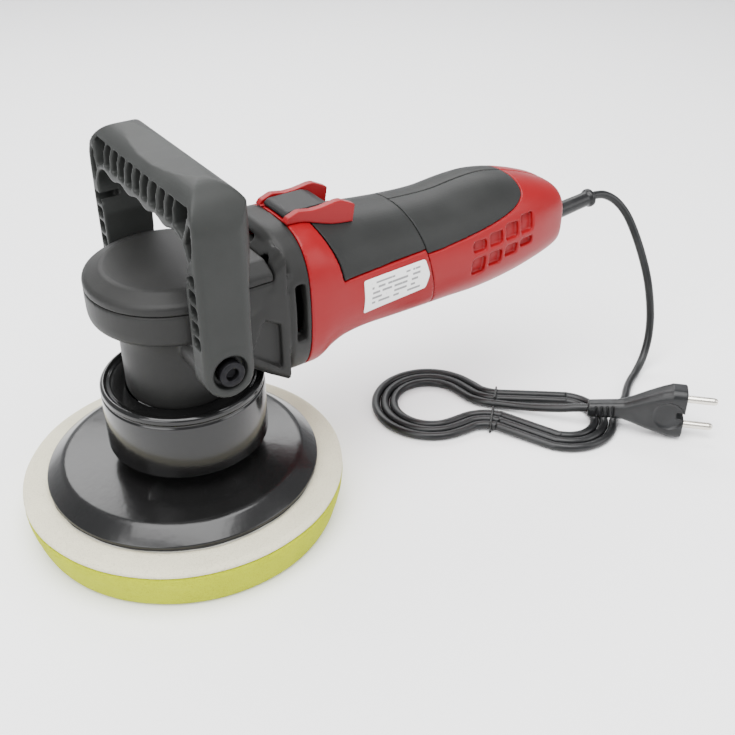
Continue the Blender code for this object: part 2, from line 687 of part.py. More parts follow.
def build_label():
    """Rating plate on the right flank, printed with plain bars."""
    label = skin("rating_label", 90.0, 145.0, -0.45, LABEL_WHITE, 6)
    cut(label, skin("inner", 88.0, 147.0, -GAP * 0.6, LABEL_WHITE, 6))
    region = prism("region", ((94.5, 110.5), (137.0, 113.0), (139.0, 121.0), (136.0, 131.0),
                              (94.0, 131.0)), -60.0, -10.0, LABEL_WHITE, axis="Y")
    combine(label, region, "INTERSECT")


def build_rear_housing():
    """Two half shells with side air inlets, closed round the control gear."""
    for name, side in (("left", 1), ("right", -1)):
        half = skin("rear_housing_" + name, 124.0, 252.0, 0.0, RED, 13)
        hollow = skin("hollow", 120.0, 247.0, WALL + GRIP_DEPTH, RED, 8, HOLLOW_POINTS)
        if side > 0:
            cut(hollow, *dial_ribs())
        cut(half, hollow, rail_channel())
        combine(half, side_cutter("rear_part", behind_split(GAP / 2)), "INTERSECT")
        low, high = sorted((side * GAP / 2, side * 60.0))
        combine(half, block("side", (100.0, low, 60.0), (260.0, high, 190.0), RED), "INTERSECT")
        cut(half, seat_for_skin(122.0, 240.0, rear_grip_region(GAP), 11))
        for k in range(4):
            x = 177.0 + 12.6 * k
            for z, height in ((127.6 + 0.8 * k, 7.4 - 0.5 * k), (113.6 + 1.0 * k, 7.4 - 0.5 * k)):
                outline = rounded_outline(4.3, height / 2 + 0.8, 1.4, 2, x, z)
                low, high = sorted((side * 14.0, side * 45.0))
                cut(half, prism("vent", outline, low, high, RED, axis="Y"))
        if side > 0:
            cut(half, *dial_slots())
        tail_bore(half)
        grip = soft_skin("rear_grip_" + name, 122.0, 240.0, rear_grip_region(0.0), 11)
        combine(grip, side_cutter("rear_part", behind_split(GAP / 2)), "INTERSECT")
        low, high = sorted((side * GAP / 2, side * 60.0))
        combine(grip, block("side", (100.0, low, 60.0), (260.0, high, 190.0), RED), "INTERSECT")


def dial_ribs():
    """Two ribs of the left shell that carry the speed wheel's axle."""
    ribs = []
    for low, high in ((DIAL_Z - 6.6, DIAL_Z - 3.4), (DIAL_Z + 3.4, DIAL_Z + 6.6)):
        ribs.append(block("rib", (DIAL_X - 4.5, DIAL_Y - 5.0, low), (DIAL_X + 4.5, 40.0, high), RED))
    return ribs


def dial_slots():
    slot = block("slot", (DIAL_X - DIAL_R - 0.5, 16.0, DIAL_Z - 3.35),
                 (DIAL_X + DIAL_R + 0.5, 45.0, DIAL_Z + 3.35), RED)
    bore = rod("bore", 2.2, DIAL_Z - 5.7, DIAL_Z + 5.7, RED, (DIAL_X, DIAL_Y), "Z", 14)
    return slot, bore


def tail_bore(half):
    """Round opening for the strain relief, along the cord's slight rise."""
    bore = relief_solid("bore", ((0.0, -8.0), (6.6, -8.0), (6.6, 20.0), (0.0, 20.0)), RED)
    cut(half, bore)


def relief_solid(name, outline, finish, segments=24):
    """A turned shape along the strain relief's own axis."""
    start, end = Vector(RELIEF_START), Vector(RELIEF_END)
    tilt = -math.atan2(end.z - start.z, end.x - start.x)
    obj = turned(name, outline, finish, axis="X", segments=segments)
    return place(obj, angle_y=tilt, shift=tuple(start))


def build_controls():
    """Slide switch with its rail, the switch block, the speed wheel and its board."""
    slider = prism("switch_slider", ((61.0, 167.6), (63.5, 169.6), (84.0, 169.6), (88.5, 168.0),
                                     (88.5, 166.6), (61.0, 166.6)), -9.6, 9.6, SWITCH_BLACK, axis="Y")
    stem = block("stem", (80.5, -2.6, RAIL_Z), (84.5, 2.6, 167.0), SWITCH_BLACK)
    rail_top = RAIL_Z + RAIL_THICK
    rail = block("rail", (80.5, -2.8, RAIL_Z), (164.0, 2.8, rail_top), SWITCH_BLACK)
    foot = block("foot", (161.0, -2.8, 146.0), (164.0, 2.8, rail_top), SWITCH_BLACK)
    join(slider, stem, rail, foot)
    block("switch_block", (168.0, -7.0, 128.0), (190.0, 7.0, 148.0), SWITCH_BLACK)
    block("control_board", (168.0, -20.0, 106.0), (214.0, 20.0, 107.8), BOARD_GREEN)
    build_bezel()
    low, high = DIAL_Z - 3.0, DIAL_Z + 3.0
    turned("speed_dial", ((0.0, low - 2.4), (1.9, low - 2.4), (1.9, low), (DIAL_R - 1.0, low),
                          (DIAL_R, low + 1.0), (DIAL_R, high - 1.0), (DIAL_R - 1.0, high), (1.9, high),
                          (1.9, high + 2.4), (0.0, high + 2.4)), SWITCH_BLACK, (DIAL_X, DIAL_Y), "Z", 28)


def build_bezel():
    """Red frame round the switch, with two raised wings that reach back over the grip."""
    frame = prism("switch_bezel", ((58.6, 166.9), (60.5, 169.4), (64.0, 170.6), (92.0, 170.2),
                                   (101.5, 166.8), (101.0, 164.6), (88.5, 163.2), (66.0, 164.8),
                                   (58.6, 166.6)), -16.0, 16.0, RED, axis="Y")
    cut(frame, block("well", (50.0, -11.8, 166.2), (120.0, 11.8, 180.0), RED),
        block("notch", (88.9, -11.8, 150.0), (120.0, 11.8, 180.0), RED),
        block("stem_slot", (73.5, -3.4, 140.0), (90.0, 3.4, 175.0), RED))
    below = skin("below", 56.0, 110.0, -GAP, RED, 7)
    return cut(frame, below)


# ---------------------------------------------------------------- handle

def arc(ca, cb, radius, start, end, steps):
    points = []
    for k in range(steps + 1):
        angle = math.radians(start + (end - start) * k / steps)
        points.append((ca + radius * math.cos(angle), cb + radius * math.sin(angle)))
    return points


def handle_outer():
    """Outer side of the loop seen from the front, from the right eye to the left one."""
    right = [(-ARM_OUT, PIVOT_Z - 3.0), (-ARM_OUT, 170.0)]
    right += arc(-ARM_OUT + 22.0, BAR_TOP - 22.0, 22.0, 180, 90, 6)
    crown = [(-24.0, BAR_TOP - 1.8), (0.0, BAR_TOP - 3.4)]
    return right + crown + [(-y, z) for y, z in reversed(right + crown[:1])]


def handle_inner():
    """Inner side of the loop, with four shallow finger rests under the bar."""
    side = [(-ARM_IN, PIVOT_Z - 3.0), (-ARM_IN, 165.0)]
    side += arc(-ARM_IN - 4.0 + 12.0, BAR_UNDER - 12.0, 12.0, 180, 90, 5)
    waves = []
    for k in range(1, 16):
        y = -41.0 + 82.0 * k / 16
        waves.append((y, BAR_UNDER - 1.1 + 1.1 * math.cos(2 * math.pi * k / 4)))
    return side + waves + [(-y, z) for y, z in reversed(side)]


def build_handle():
    """Loop handle that swings on two bolts, with a ribbed channel along its front."""
    outline = handle_outer() + list(reversed(handle_inner()))
    handle = prism("d_handle", outline, ARM_FRONT, ARM_REAR + 5.0, SOFT_BLACK, axis="X")
    for side in (-1, 1):
        low, high = sorted((side * (ARM_IN - 0.05), side * (ARM_OUT + 0.4)))
        join(handle, rod("eye", EYE_R, low, high, SOFT_BLACK, (0.0, PIVOT_Z), "Y", 32))
    profile = ((-EYE_R - 0.5, 100.0), (ARM_REAR, 100.0), (ARM_REAR - 0.8, 134.0), (ARM_REAR, 168.0),
               (19.0, 192.0), (19.0, 203.0), (13.5, 211.0), (6.0, 216.0), (-2.0, 214.0),
               (-8.0, 208.5), (-11.0, 203.0), (-EYE_R - 0.5, 186.0))
    combine(handle, side_cutter("profile", profile, -70.0, 70.0), "INTERSECT")
    for side in (-1, 1):
        for k in range(3):
            low, high = sorted((side * (ARM_IN + 2.4), side * (ARM_OUT - 2.6)))
            base = 140.0 + 15.0 * k
            cut(handle, block("pocket", (-30.0, low, base), (-2.0, high, base + 12.6), SOFT_BLACK))
    for k in range(7):
        y = -42.0 + 12.6 * k
        cut(handle, block("pocket", (-30.0, y, BAR_UNDER + 2.2), (-1.0, y + 10.4, 204.6), SOFT_BLACK))
    for side in (-1, 1):
        low, high = sorted((side * 40.0, side * 70.0))
        cut(handle, rod("bolt_hole", 4.4, low, high, SOFT_BLACK, (0.0, PIVOT_Z), "Y", 20))
        low, high = sorted((side * (ARM_OUT - 4.6), side * 71.0))
        cut(handle, rod("counterbore", 9.0, low, high, SOFT_BLACK, (0.0, PIVOT_Z), "Y", 28))
    for name, side in (("left", 1), ("right", -1)):
        build_handle_bolt(name, side)


def build_handle_bolt(name, side):
    """Socket-head bolt through the eye into the side boss."""
    seat = ARM_OUT - 4.5 + GAP
    outline = ((0.0, 31.0), (4.0, 31.0), (4.0, seat), (6.6, seat), (6.6, seat + 5.4), (6.0, seat + 6.0),
               (3.2, seat + 6.0), (3.2, seat + 2.6), (0.0, seat + 2.6))
    mirrored = tuple((r, side * along) for r, along in outline)
    turned("handle_bolt_" + name, mirrored, DARK_STEEL, (0.0, PIVOT_Z), "Y", 18)


def build_flange_screws():
    for k, (y, z) in enumerate(screw_places(), start=1):
        turned("flange_screw_%d" % k, ((0.0, 46.4), (4.0, 46.4), (4.0, 50.7), (2.0, 50.7), (2.0, 74.0),
                                       (0.0, 74.0)), STEEL, (y, z), "X", 14)


# ---------------------------------------------------------------- cord and plug

def build_strain_relief():
    """Moulded sleeve that tapers back to the cord, with a collar at its end."""
    length = (Vector(RELIEF_END) - Vector(RELIEF_START)).length
    relief_solid("strain_relief", ((0.0, -4.0), (6.2, -4.0), (6.2, 2.0), (5.2, 3.4), (4.4, length - 6.0),
                                   (4.6, length - 4.0), (5.6, length - 3.4), (5.6, length - 0.8),
                                   (4.8, length), (0.0, length)), CORD_BLACK)


def smooth_route(route, fine=12):
    """Close points of a smooth curve through the route's own points."""
    points = []
    last = len(route) - 1
    for k in range(last):
        p0, p1 = Vector(route[max(k - 1, 0)]), Vector(route[k])
        p2, p3 = Vector(route[k + 1]), Vector(route[min(k + 2, last)])
        for n in range(fine):
            t = n / fine
            points.append(0.5 * (2 * p1 + (p2 - p0) * t + (2 * p0 - 5 * p1 + 4 * p2 - p3) * t ** 2
                                 + (3 * p1 - p0 - 3 * p2 + p3) * t ** 3))
    points.append(Vector(route[-1]))
    return points


def even_points(points, spacing, end_step=1.5):
    """Points at an even spacing, with a short first and last step to square the end faces."""
    reach = [0.0]
    for a, b in zip(points, points[1:]):
        reach.append(reach[-1] + (b - a).length)
    total = reach[-1]
    count = round(total / spacing)
    wanted = [0.0, end_step] + [total * k / count for k in range(1, count)] + [total - end_step, total]
    even = []
    k = 0
    for distance in wanted:
        while k < len(points) - 2 and reach[k + 1] < distance:
            k += 1
        share = (distance - reach[k]) / (reach[k + 1] - reach[k])
        even.append(points[k].lerp(points[k + 1], share))
    return even


def build_cord():
    curve = bpy.data.curves.new("power_cord", "CURVE")
    curve.dimensions = "3D"
    spline = curve.splines.new("POLY")
    points = even_points(smooth_route(CORD_ROUTE), CORD_STEP)
    spline.points.add(len(points) - 1)
    for target, point in zip(spline.points, points):
        target.co = (*(point * MM), 1.0)
    curve.bevel_depth = CORD_R * MM
    curve.bevel_resolution = 2
    curve.use_fill_caps = True
    obj = bpy.data.objects.new("power_cord", curve)
    bpy.context.scene.collection.objects.link(obj)
    curve.materials.append(finish_material("power_cord", CORD_BLACK))


def to_hank(obj):
    return place(obj, angle_z=HANK_ANGLE, shift=(HANK_CENTRE[0], HANK_CENTRE[1], 0.0))


def loop_side(centre, radius):
    """Upper side of one half of the hank, from the tie to the far end of its round loop."""
    neck = HANK_WAIST + HANK_NECK_R
    reach = math.hypot(centre, neck)
    lean = math.atan2(neck, abs(centre)) + math.acos(min(1.0, (radius + HANK_NECK_R) / reach))
    side = math.copysign(1.0, centre)
    points = []
    for k in range(5):
        angle = -math.pi / 2 + (lean - math.pi / 2) * k / 4
        points.append((-side * HANK_NECK_R * math.cos(angle), neck + HANK_NECK_R * math.sin(angle)))
    for k in range(10):
        angle = lean + (math.pi - lean) * k / 9
        points.append((centre - side * radius * math.cos(angle), radius * math.sin(angle)))
    return points


def hank_outline():
    """Plan of the hank: a tied waist between two round ends, the right one with a step
    where the loose run of the cord comes in."""
    left = loop_side(*HANK_LEFT)
    entry = reversed(loop_side(HANK_RIGHT[0], HANK_NEXT_R))
    lower_left = [(u, -v) for u, v in reversed(left[1:-1])]
    lower_right = [(u, -v) for u, v in loop_side(*HANK_RIGHT)]
    return list(entry) + left[1:] + lower_left + lower_right


def build_hank():
    """The folded cord's outer shape, with its last run rising to the plug."""
    hank = prism("cord_hank", hank_outline(), HANK_BASE, HANK_TOP, CORD_BLACK)
    cut(hank, block("tie_groove", (-1.8, -60.0, -1.0), (1.8, 60.0, 1.2), CORD_BLACK))
    run = loft("run", [[(u, CORD_R * math.cos(a), z + CORD_R * math.sin(a))
                        for a in [2 * math.pi * k / 12 for k in range(12)]]
                       for u, z in ((24.0, 4.6), (40.0, 8.2), (50.0, 10.6), (TAIL_U - GAP, TAIL_Z))],
               CORD_BLACK)
    to_hank(join(hank, run))
    tie_inner, tie_outer = HANK_WAIST + 0.8, HANK_WAIST + 1.9
    tie = block("cord_tie", (-1.3, -tie_outer, 0.0), (1.3, tie_outer, HANK_TOP + 1.2), SWITCH_BLACK)
    to_hank(cut(tie, block("inside", (-5.0, -tie_inner, 0.9), (5.0, tie_inner, HANK_TOP + GAP), RED)))


def plug_ring(u, half_width, half_height, centre_z, corner, steps=3):
    outline = rounded_outline(half_width, half_height, corner, steps, 0.0, centre_z)
    return [(u, v, z) for v, z in outline]


def build_plug():
    """Flat two-pin plug standing on its edge, its tail resting on the hank."""
    start = TAIL_U
    sections = []
    for offset, half_v, half_z in ((0.0, 4.6, 4.6), (1.0, 5.2, 5.2), (18.0, 5.6, 5.8), (24.0, 5.9, 7.0),
                                   (36.0, 7.0, 12.0), (48.0, 7.9, 16.8), (50.0, 8.2, 17.6),
                                   (59.0, 8.2, 17.6)):
        height = TAIL_Z + (PLUG_AXIS_Z - TAIL_Z) * min(1.0, offset / 48.0)
        corner = min(half_v, half_z) * 0.72
        sections.append(plug_ring(start + offset, half_v, half_z, height, corner))
    body = loft("plug_body", sections, PLUG_BLACK)
    notch = block("notch", (start + 54.0, -12.0, PLUG_AXIS_Z - 2.4), (start + 64.0, 12.0,
                                                                      PLUG_AXIS_Z + 2.4), PLUG_BLACK)
    to_hank(cut(body, notch))
    for name, side in (("upper", 1), ("lower", -1)):
        face = start + 59.0 + GAP
        pin = turned("plug_pin_" + name, ((0.0, face), (2.4, face), (2.4, face + 17.4),
                                          (1.4, face + 18.7), (0.0, face + 18.7)), NICKEL,
                     (0.0, PLUG_AXIS_Z + side * 9.5), "X", 16)
        to_hank(pin)


def hang_on_pivot(name, point, *nodes):
    """Parents a moving body to an empty on its joint's axis, with its meshes placed from there."""
    pivot = bpy.data.objects.new("pivot_" + name, None)
    bpy.context.scene.collection.objects.link(pivot)
    pivot.location = Vector(point) * MM
    for node in nodes:
        obj = bpy.data.objects[node]
        obj.data.transform(Matrix.Translation(-pivot.location))
        obj.parent = pivot
    return pivot


def build_pivots():
    spindle = hang_on_pivot("spindle", (0.0, 0.0, 100.0), "spindle", "crown_gear", "eccentric_hub",
                            "counterweight", "pad_bearing")
    pad = hang_on_pivot("pad", (PAD_X, PAD_Y, 60.0), "yellow_foam", "cream_foam", "loop_disc",
                        "hook_disc", "backing_plate", "pad_screw", "pad_spindle")
    pad.parent = spindle
    pad.location -= spindle.location
    hang_on_pivot("armature", (100.0, 0.0, MOTOR_Z), "armature_shaft", "armature_core", "commutator",
                  "cooling_fan", "pinion_gear")
    hang_on_pivot("handle", (0.0, 0.0, PIVOT_Z), "d_handle")
    hang_on_pivot("dial", (DIAL_X, DIAL_Y, DIAL_Z), "speed_dial")
    hang_on_pivot("switch", (82.5, 0.0, RAIL_Z), "switch_slider")


def main():
    clear_scene()
    build_pad()
    build_backing_plate()
    build_eccentric()
    build_shroud()
    build_gear_housing()
    build_head_cover()
    build_spindle()
    build_gears()
    build_armature()
    build_stator()
    build_brushes()
    build_motor_housing()
    build_rear_housing()
    build_controls()
    build_handle()
    build_flange_screws()
    build_strain_relief()
    build_cord()
    build_hank()
    build_plug()
    build_pivots()


main()
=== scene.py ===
"""A dual-action car polisher in its finished looks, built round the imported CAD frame.

Sizes are in millimetres unless a name says otherwise, and become metres as a mesh is made.
"""

import math

import bmesh
import bpy
from mathutils import Matrix, Vector


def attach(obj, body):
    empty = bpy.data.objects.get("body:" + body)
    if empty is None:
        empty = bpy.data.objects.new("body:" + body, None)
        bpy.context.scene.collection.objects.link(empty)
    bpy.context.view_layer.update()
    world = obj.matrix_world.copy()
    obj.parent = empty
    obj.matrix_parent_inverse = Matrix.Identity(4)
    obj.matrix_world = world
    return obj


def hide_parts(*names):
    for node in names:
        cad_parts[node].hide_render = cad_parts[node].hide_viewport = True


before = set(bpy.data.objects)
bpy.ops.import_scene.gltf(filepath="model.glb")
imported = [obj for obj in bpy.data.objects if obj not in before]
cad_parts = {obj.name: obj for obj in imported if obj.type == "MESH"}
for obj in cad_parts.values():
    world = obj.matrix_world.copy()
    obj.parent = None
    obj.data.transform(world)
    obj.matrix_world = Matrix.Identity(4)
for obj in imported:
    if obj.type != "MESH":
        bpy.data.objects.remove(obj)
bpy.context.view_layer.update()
MM = 0.001


# ---------------------------------------- camera
# A short telephoto lens in front of the tool on its right, looking down over the pad.

camera_lens = bpy.data.cameras.new("camera")
camera_lens.lens = 48.98
camera_lens.sensor_width = 36.0
camera = bpy.data.objects.new("camera", camera_lens)
camera.location = (-0.1673, -0.4261, 0.3883)
camera.rotation_euler = (math.radians(90.0 - 33.62), 0.0, math.radians(-34.0))
bpy.context.scene.collection.objects.link(camera)
bpy.context.scene.camera = camera


# ---------------------------------------- power cord
# A two-core mains lead in black rubber, 5.5 mm thick.  It drops from the strain relief to
# the bench, runs into a folded hank tied at its waist, and rises over the folds to the plug.

CORD_THICK = 5.5
CORD_LIE = 2.8                      # height of its middle where it lies on the bench
CORD_LANE = 6.0                     # from the middle of one run to the next
CORD_ROUTE = (
    (0.2983, 0.0, 0.1160), (0.3020, -0.0001, 0.1163), (0.3092, -0.0016, 0.1153),
    (0.3156, -0.0052, 0.1116), (0.3202, -0.0104, 0.1052), (0.3228, -0.0170, 0.0960),
    (0.3250, -0.0266, 0.0795), (0.3268, -0.0352, 0.0600), (0.3275, -0.0413, 0.0385),
    (0.3250, -0.0454, 0.0220), (0.3175, -0.0498, 0.0098), (0.3065, -0.0546, 0.0040),
    (0.2965, -0.0592, 0.0028), (0.2870, -0.0652, 0.0028), (0.2790, -0.0712, 0.0028),
    (0.2696, -0.0766, 0.0028), (0.2603, -0.0814, 0.0028), (0.2541, -0.0851, 0.0028),
)
HANK_PLACE = Matrix.Translation((197.0, -33.0, 0.0)) @ Matrix.Rotation(math.radians(-45.0), 4, "Z")
HANK_LEFT, HANK_LEFT_R = -41.5, 36.0    # the round loops: where along the hank, and radius
HANK_RIGHT, HANK_RIGHT_R = 46.0, 31.0
HANK_WAIST = 18.0                   # outermost run from the middle, under the tie
HANK_NECK_R = 20.0                  # hollow bend each side of the tie
TIE_LIFT = 1.1                      # the runs ride over the tie's lower strand
PLUG_TAIL = (59.4, 0.0, 12.8)       # where the cord enters the plug, along the hank


class Wire:
    """A shader socket that can stand in an expression, such as 1 - mask * 0.5."""

    def __init__(self, finish, socket):
        self.finish = finish
        self.socket = socket

    def work(self, operation, first, second):
        return self.finish.node("ShaderNodeMath", {"operation": operation}, {0: first, 1: second})

    def __add__(self, other):
        return self.work("ADD", self, other)

    def __radd__(self, other):
        return self.work("ADD", other, self)

    def __sub__(self, other):
        return self.work("SUBTRACT", self, other)

    def __rsub__(self, other):
        return self.work("SUBTRACT", other, self)

    def __mul__(self, other):
        return self.work("MULTIPLY", self, other)

    def __rmul__(self, other):
        return self.work("MULTIPLY", other, self)


class Finish:
    """One procedural material: a Principled surface and the nodes that vary it."""

    def __init__(self, name, roughness=0.5, metallic=0.0, **fixed):
        self.material = bpy.data.materials.new(name)
        self.material.use_nodes = True
        self.tree = self.material.node_tree
        self.shader = self.tree.nodes["Principled BSDF"]
        self.shader.inputs["Roughness"].default_value = roughness
        self.shader.inputs["Metallic"].default_value = metallic
        for socket, value in fixed.items():
            self.shader.inputs[socket.replace("_", " ")].default_value = value
        self.place = self.node("ShaderNodeTexCoord", {}, {}, "Object")

    def node(self, kind, settings, sockets, output=0):
        """Adds any node: its settings first, then the values or wires of its sockets."""
        node = self.tree.nodes.new(kind)
        for setting, value in settings.items():
            setattr(node, setting, value)
        for socket, value in sockets.items():
            if isinstance(value, Wire):
                self.tree.links.new(value.socket, node.inputs[socket])
            else:
                node.inputs[socket].default_value = value
        return Wire(self, node.outputs[output])

    def noise(self, per_metre, detail=3.0, place=None):
        return self.node("ShaderNodeTexNoise", {}, {"Vector": place or self.place, "Scale": per_metre,
                                                    "Detail": detail})

    def cells(self, per_metre, feature="F1", place=None):
        return self.node("ShaderNodeTexVoronoi", {"feature": feature},
                         {"Vector": place or self.place, "Scale": per_metre})

    def stretched(self, x, y, z):
        return self.node("ShaderNodeMapping", {}, {"Vector": self.place, "Scale": (x, y, z)})

    def along(self, axis):
        return self.node("ShaderNodeSeparateXYZ", {}, {0: self.place}, axis)

    def step(self, value, low, high):
        """0 below low, 1 above high, and smooth in between."""
        return self.node("ShaderNodeMapRange", {"interpolation_type": "SMOOTHSTEP"},
                         {"Value": value, "From Min": low, "From Max": high})

    def tint(self, share, first, second):
        """A colour that goes from the first to the second with the share."""
        sockets = {0: share, 6: first if isinstance(first, Wire) else (*first, 1.0),
                   7: second if isinstance(second, Wire) else (*second, 1.0)}
        return self.node("ShaderNodeMix", {"data_type": "RGBA"}, sockets, 2)

    def dress(self, colour, roughness=None, height=None, depth_mm=0.05, strength=1.0):
        """Joins the colour, roughness and relief to the surface."""
        links = self.tree.links
        links.new(colour.socket, self.shader.inputs["Base Color"])
        if roughness is not None:
            links.new(roughness.socket, self.shader.inputs["Roughness"])
        if height is not None:
            bump = self.node("ShaderNodeBump", {}, {"Height": height, "Distance": depth_mm * MM,
                                                    "Strength": strength})
            links.new(bump.socket, self.shader.inputs["Normal"])
        return self


def rubber_sheath(name, base):
    """Extruded rubber: nearly smooth, a little dusty, with faint drawing lines."""
    sheath = Finish(name, roughness=0.32, Specular_IOR_Level=0.3)
    bloom = sheath.noise(60.0, 4.0)
    fine = sheath.noise(1400.0, 2.0)
    colour = sheath.tint(sheath.step(bloom, 0.4, 0.75), base, tuple(c * 1.9 + 0.002 for c in base))
    return sheath.dress(colour, 0.27 + bloom * 0.18, fine + bloom * 2.0, 0.02)


cord_sheath = rubber_sheath("cord_sheath", (0.005, 0.0052, 0.0055))


def through(points, steps):
    """A smooth curve through points, as `steps` short runs between each pair."""
    smooth_run = []
    last = len(points) - 1
    for k in range(last):
        before, start = Vector(points[max(k - 1, 0)]), Vector(points[k])
        end, after = Vector(points[k + 1]), Vector(points[min(k + 2, last)])
        for n in range(steps):
            t = n / steps
            smooth_run.append(0.5 * (2 * start + (end - before) * t
                                     + (2 * before - 5 * start + 4 * end - after) * t ** 2
                                     + (3 * start - before - 3 * end + after) * t ** 3))
    smooth_run.append(Vector(points[-1]))
    return smooth_run


def hank_side(centre, radius, waist, neck_r):
    """One run's upper half, from under the tie out to the far end of its loop."""
    neck = waist + neck_r
    share = min(1.0, (radius + neck_r) / math.hypot(centre, neck))
    lean = math.atan2(neck, abs(centre)) + math.acos(share)
    side = math.copysign(1.0, centre)
    points = []
    for k in range(4):
        angle = -math.pi / 2 + (lean - math.pi / 2) * k / 4
        points.append((-side * neck_r * math.cos(angle), neck + neck_r * math.sin(angle)))
    for k in range(9):
        angle = lean + (math.pi - lean) * k / 8
        points.append((centre - side * radius * math.cos(angle), radius * math.sin(angle)))
    return points


def hank_run():
    """The folded cord, turn by turn from outside in, lying one lane apart."""
    plan = []
    for turn in range(3):
        inset = turn * CORD_LANE
        waist, neck_r = HANK_WAIST - inset, HANK_NECK_R + inset
        lower_right = hank_side(HANK_RIGHT, HANK_RIGHT_R - inset, waist, neck_r)
        left = hank_side(HANK_LEFT, HANK_LEFT_R - inset, waist, neck_r)
        plan += [(u, -v) for u, v in reversed(lower_right)]
        plan += [(u, -v) for u, v in left[1:]] + list(reversed(left))[1:]
        if turn < 2:
            plan += hank_side(HANK_RIGHT, HANK_RIGHT_R - inset - CORD_LANE, waist, neck_r)[1:-1]
    run = [(u, v, CORD_LIE + TIE_LIFT * math.exp(-(u / 16.0) ** 2)) for u, v in plan]
    tail_u, tail_v, tail_z = PLUG_TAIL
    run += [(14.0, 5.0, 4.6), (28.0, 2.6, 6.8), (42.0, 0.6, 9.6), (52.0, tail_v, 11.8),
            (tail_u + 3.0, tail_v, tail_z + 0.3)]
    return [HANK_PLACE @ Vector(point) for point in run]


def cord_tube(name, points_m, thick, body_name, finish):
    """A round cord as a curve through points in metres."""
    line = bpy.data.curves.new(name, "CURVE")
    line.dimensions = "3D"
    spline = line.splines.new("POLY")
    spline.points.add(len(points_m) - 1)
    for target, point in zip(spline.points, points_m):
        target.co = (*point, 1.0)
    line.bevel_depth = thick / 2 * MM
    line.bevel_resolution = 5
    line.use_fill_caps = True
    tube = bpy.data.objects.new(name, line)
    bpy.context.scene.collection.objects.link(tube)
    line.materials.append(finish.material)
    spline.use_smooth = True
    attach(tube, body_name)
    return tube


cord_points = [Vector(p) for p in CORD_ROUTE] + [point * MM for point in hank_run()]
cord_line = through(cord_points, 6)
cord_length = sum((b - a).length for a, b in zip(cord_line, cord_line[1:]))
power_lead = cord_tube("power_lead", cord_line, CORD_THICK, "machine", cord_sheath)
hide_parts("power_cord", "cord_hank")


# ---------------------------------------- hank tie
# A thin wire in a plastic coat, bent once round the hank's waist, with its ends twisted
# shut on top; it keeps the folded lead together.

tie_plastic = rubber_sheath("tie_plastic", (0.012, 0.012, 0.012))
TIE_THICK = 1.3
TIE_HALF = 21.9                     # half the loop's width across the hank
TIE_BEND = 3.2                      # how far its round ends reach in
TIE_TOP = 7.6
TIE_LOW = 0.75                      # lowest its middle goes, so that it lies on the bench


def tie_run():
    """A flat loop round the runs of cord, closed by its twisted ends on top."""
    right = []
    for k in range(7):
        angle = math.radians(90 - 30 * k)
        right.append((TIE_HALF - TIE_BEND + TIE_BEND * math.cos(angle),
                      TIE_TOP / 2 + (TIE_TOP / 2 - 0.2) * math.sin(angle)))
    left = [(-v, z) for v, z in reversed(right)]
    twist_z = TIE_TOP - 0.1
    ring = [(right[0][0] * 0.4, twist_z), *right, *left, (-3.0, twist_z)]
    return [HANK_PLACE @ Vector((0.0, v, max(z, TIE_LOW))) * MM for v, z in ring]


tie_wire = cord_tube("tie_wire", through(tie_run(), 5), TIE_THICK, "machine", tie_plastic)
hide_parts("cord_tie")


# ---------------------------------------- strain relief
# A rubber sleeve moulded on the lead where it leaves the housing, tapering back to a
# flared collar.

RELIEF_START = Vector((250.0, 0.0, 111.6))
RELIEF_END = Vector((298.0, 0.0, 116.0))


def mesh_piece(name, points, faces):
    """A smooth-shaded mesh from points in millimetres, its faces turned outwards."""
    mesh = bpy.data.meshes.new(name)
    form = bmesh.new()
    corners = [form.verts.new(Vector(p) * MM) for p in points]
    for face in faces:
        form.faces.new([corners[i] for i in face])
    bmesh.ops.recalc_face_normals(form, faces=form.faces)
    form.to_mesh(mesh)
    form.free()
    piece = bpy.data.objects.new(name, mesh)
    bpy.context.scene.collection.objects.link(piece)
    crisp(piece, 35.0)
    return piece


def crisp(piece, angle):
    """Smooth shading with sharp edges where faces meet at more than the angle."""
    piece.data.shade_smooth()
    piece.data.set_sharp_from_angle(angle=math.radians(angle))


def on_axis(axis, along, a, b):
    """A point at `along` on an axis, with a and b across it."""
    if axis == "X":
        return (along, a, b)
    if axis == "Y":
        return (a, along, b)
    return (a, b, along)


def turned(name, outline, centre=(0.0, 0.0), axis="Z", segments=96):
    """Turns (radius, along) points about an axis; an outline off the axis makes a ring."""
    points, rows = [], []
    for radius, along in outline:
        if radius < 1e-6:
            rows.append([len(points)])
            points.append(on_axis(axis, along, *centre))
            continue
        rows.append(list(range(len(points), len(points) + segments)))
        for k in range(segments):
            angle = 2 * math.pi * k / segments
            points.append(on_axis(axis, along, centre[0] + radius * math.cos(angle),
                                  centre[1] + radius * math.sin(angle)))
    if len(rows[0]) > 1:
        rows.append(rows[0])
    faces = []
    for low, high in zip(rows, rows[1:]):
        for i in range(segments):
            j = (i + 1) % segments
            if len(low) == 1:
                faces.append((low[0], high[j], high[i]))
            elif len(high) == 1:
                faces.append((low[i], low[j], high[0]))
            else:
                faces.append((low[i], low[j], high[j], high[i]))
    return mesh_piece(name, points, faces)


def softened(outline, radius, steps=3):
    """The outline with each inner corner rounded by up to the radius."""
    rounded = [outline[0]]
    for before, corner, after in zip(outline, outline[1:], outline[2:]):
        a, b, c = Vector(before), Vector(corner), Vector(after)
        reach = min(radius, (a - b).length * 0.45, (c - b).length * 0.45)
        start, end = b + (a - b).normalized() * reach, b + (c - b).normalized() * reach
        for k in range(steps + 1):
            t = k / steps
            rounded.append(tuple((1 - t) ** 2 * start + 2 * t * (1 - t) * b + t * t * end))
    rounded.append(outline[-1])
    return rounded


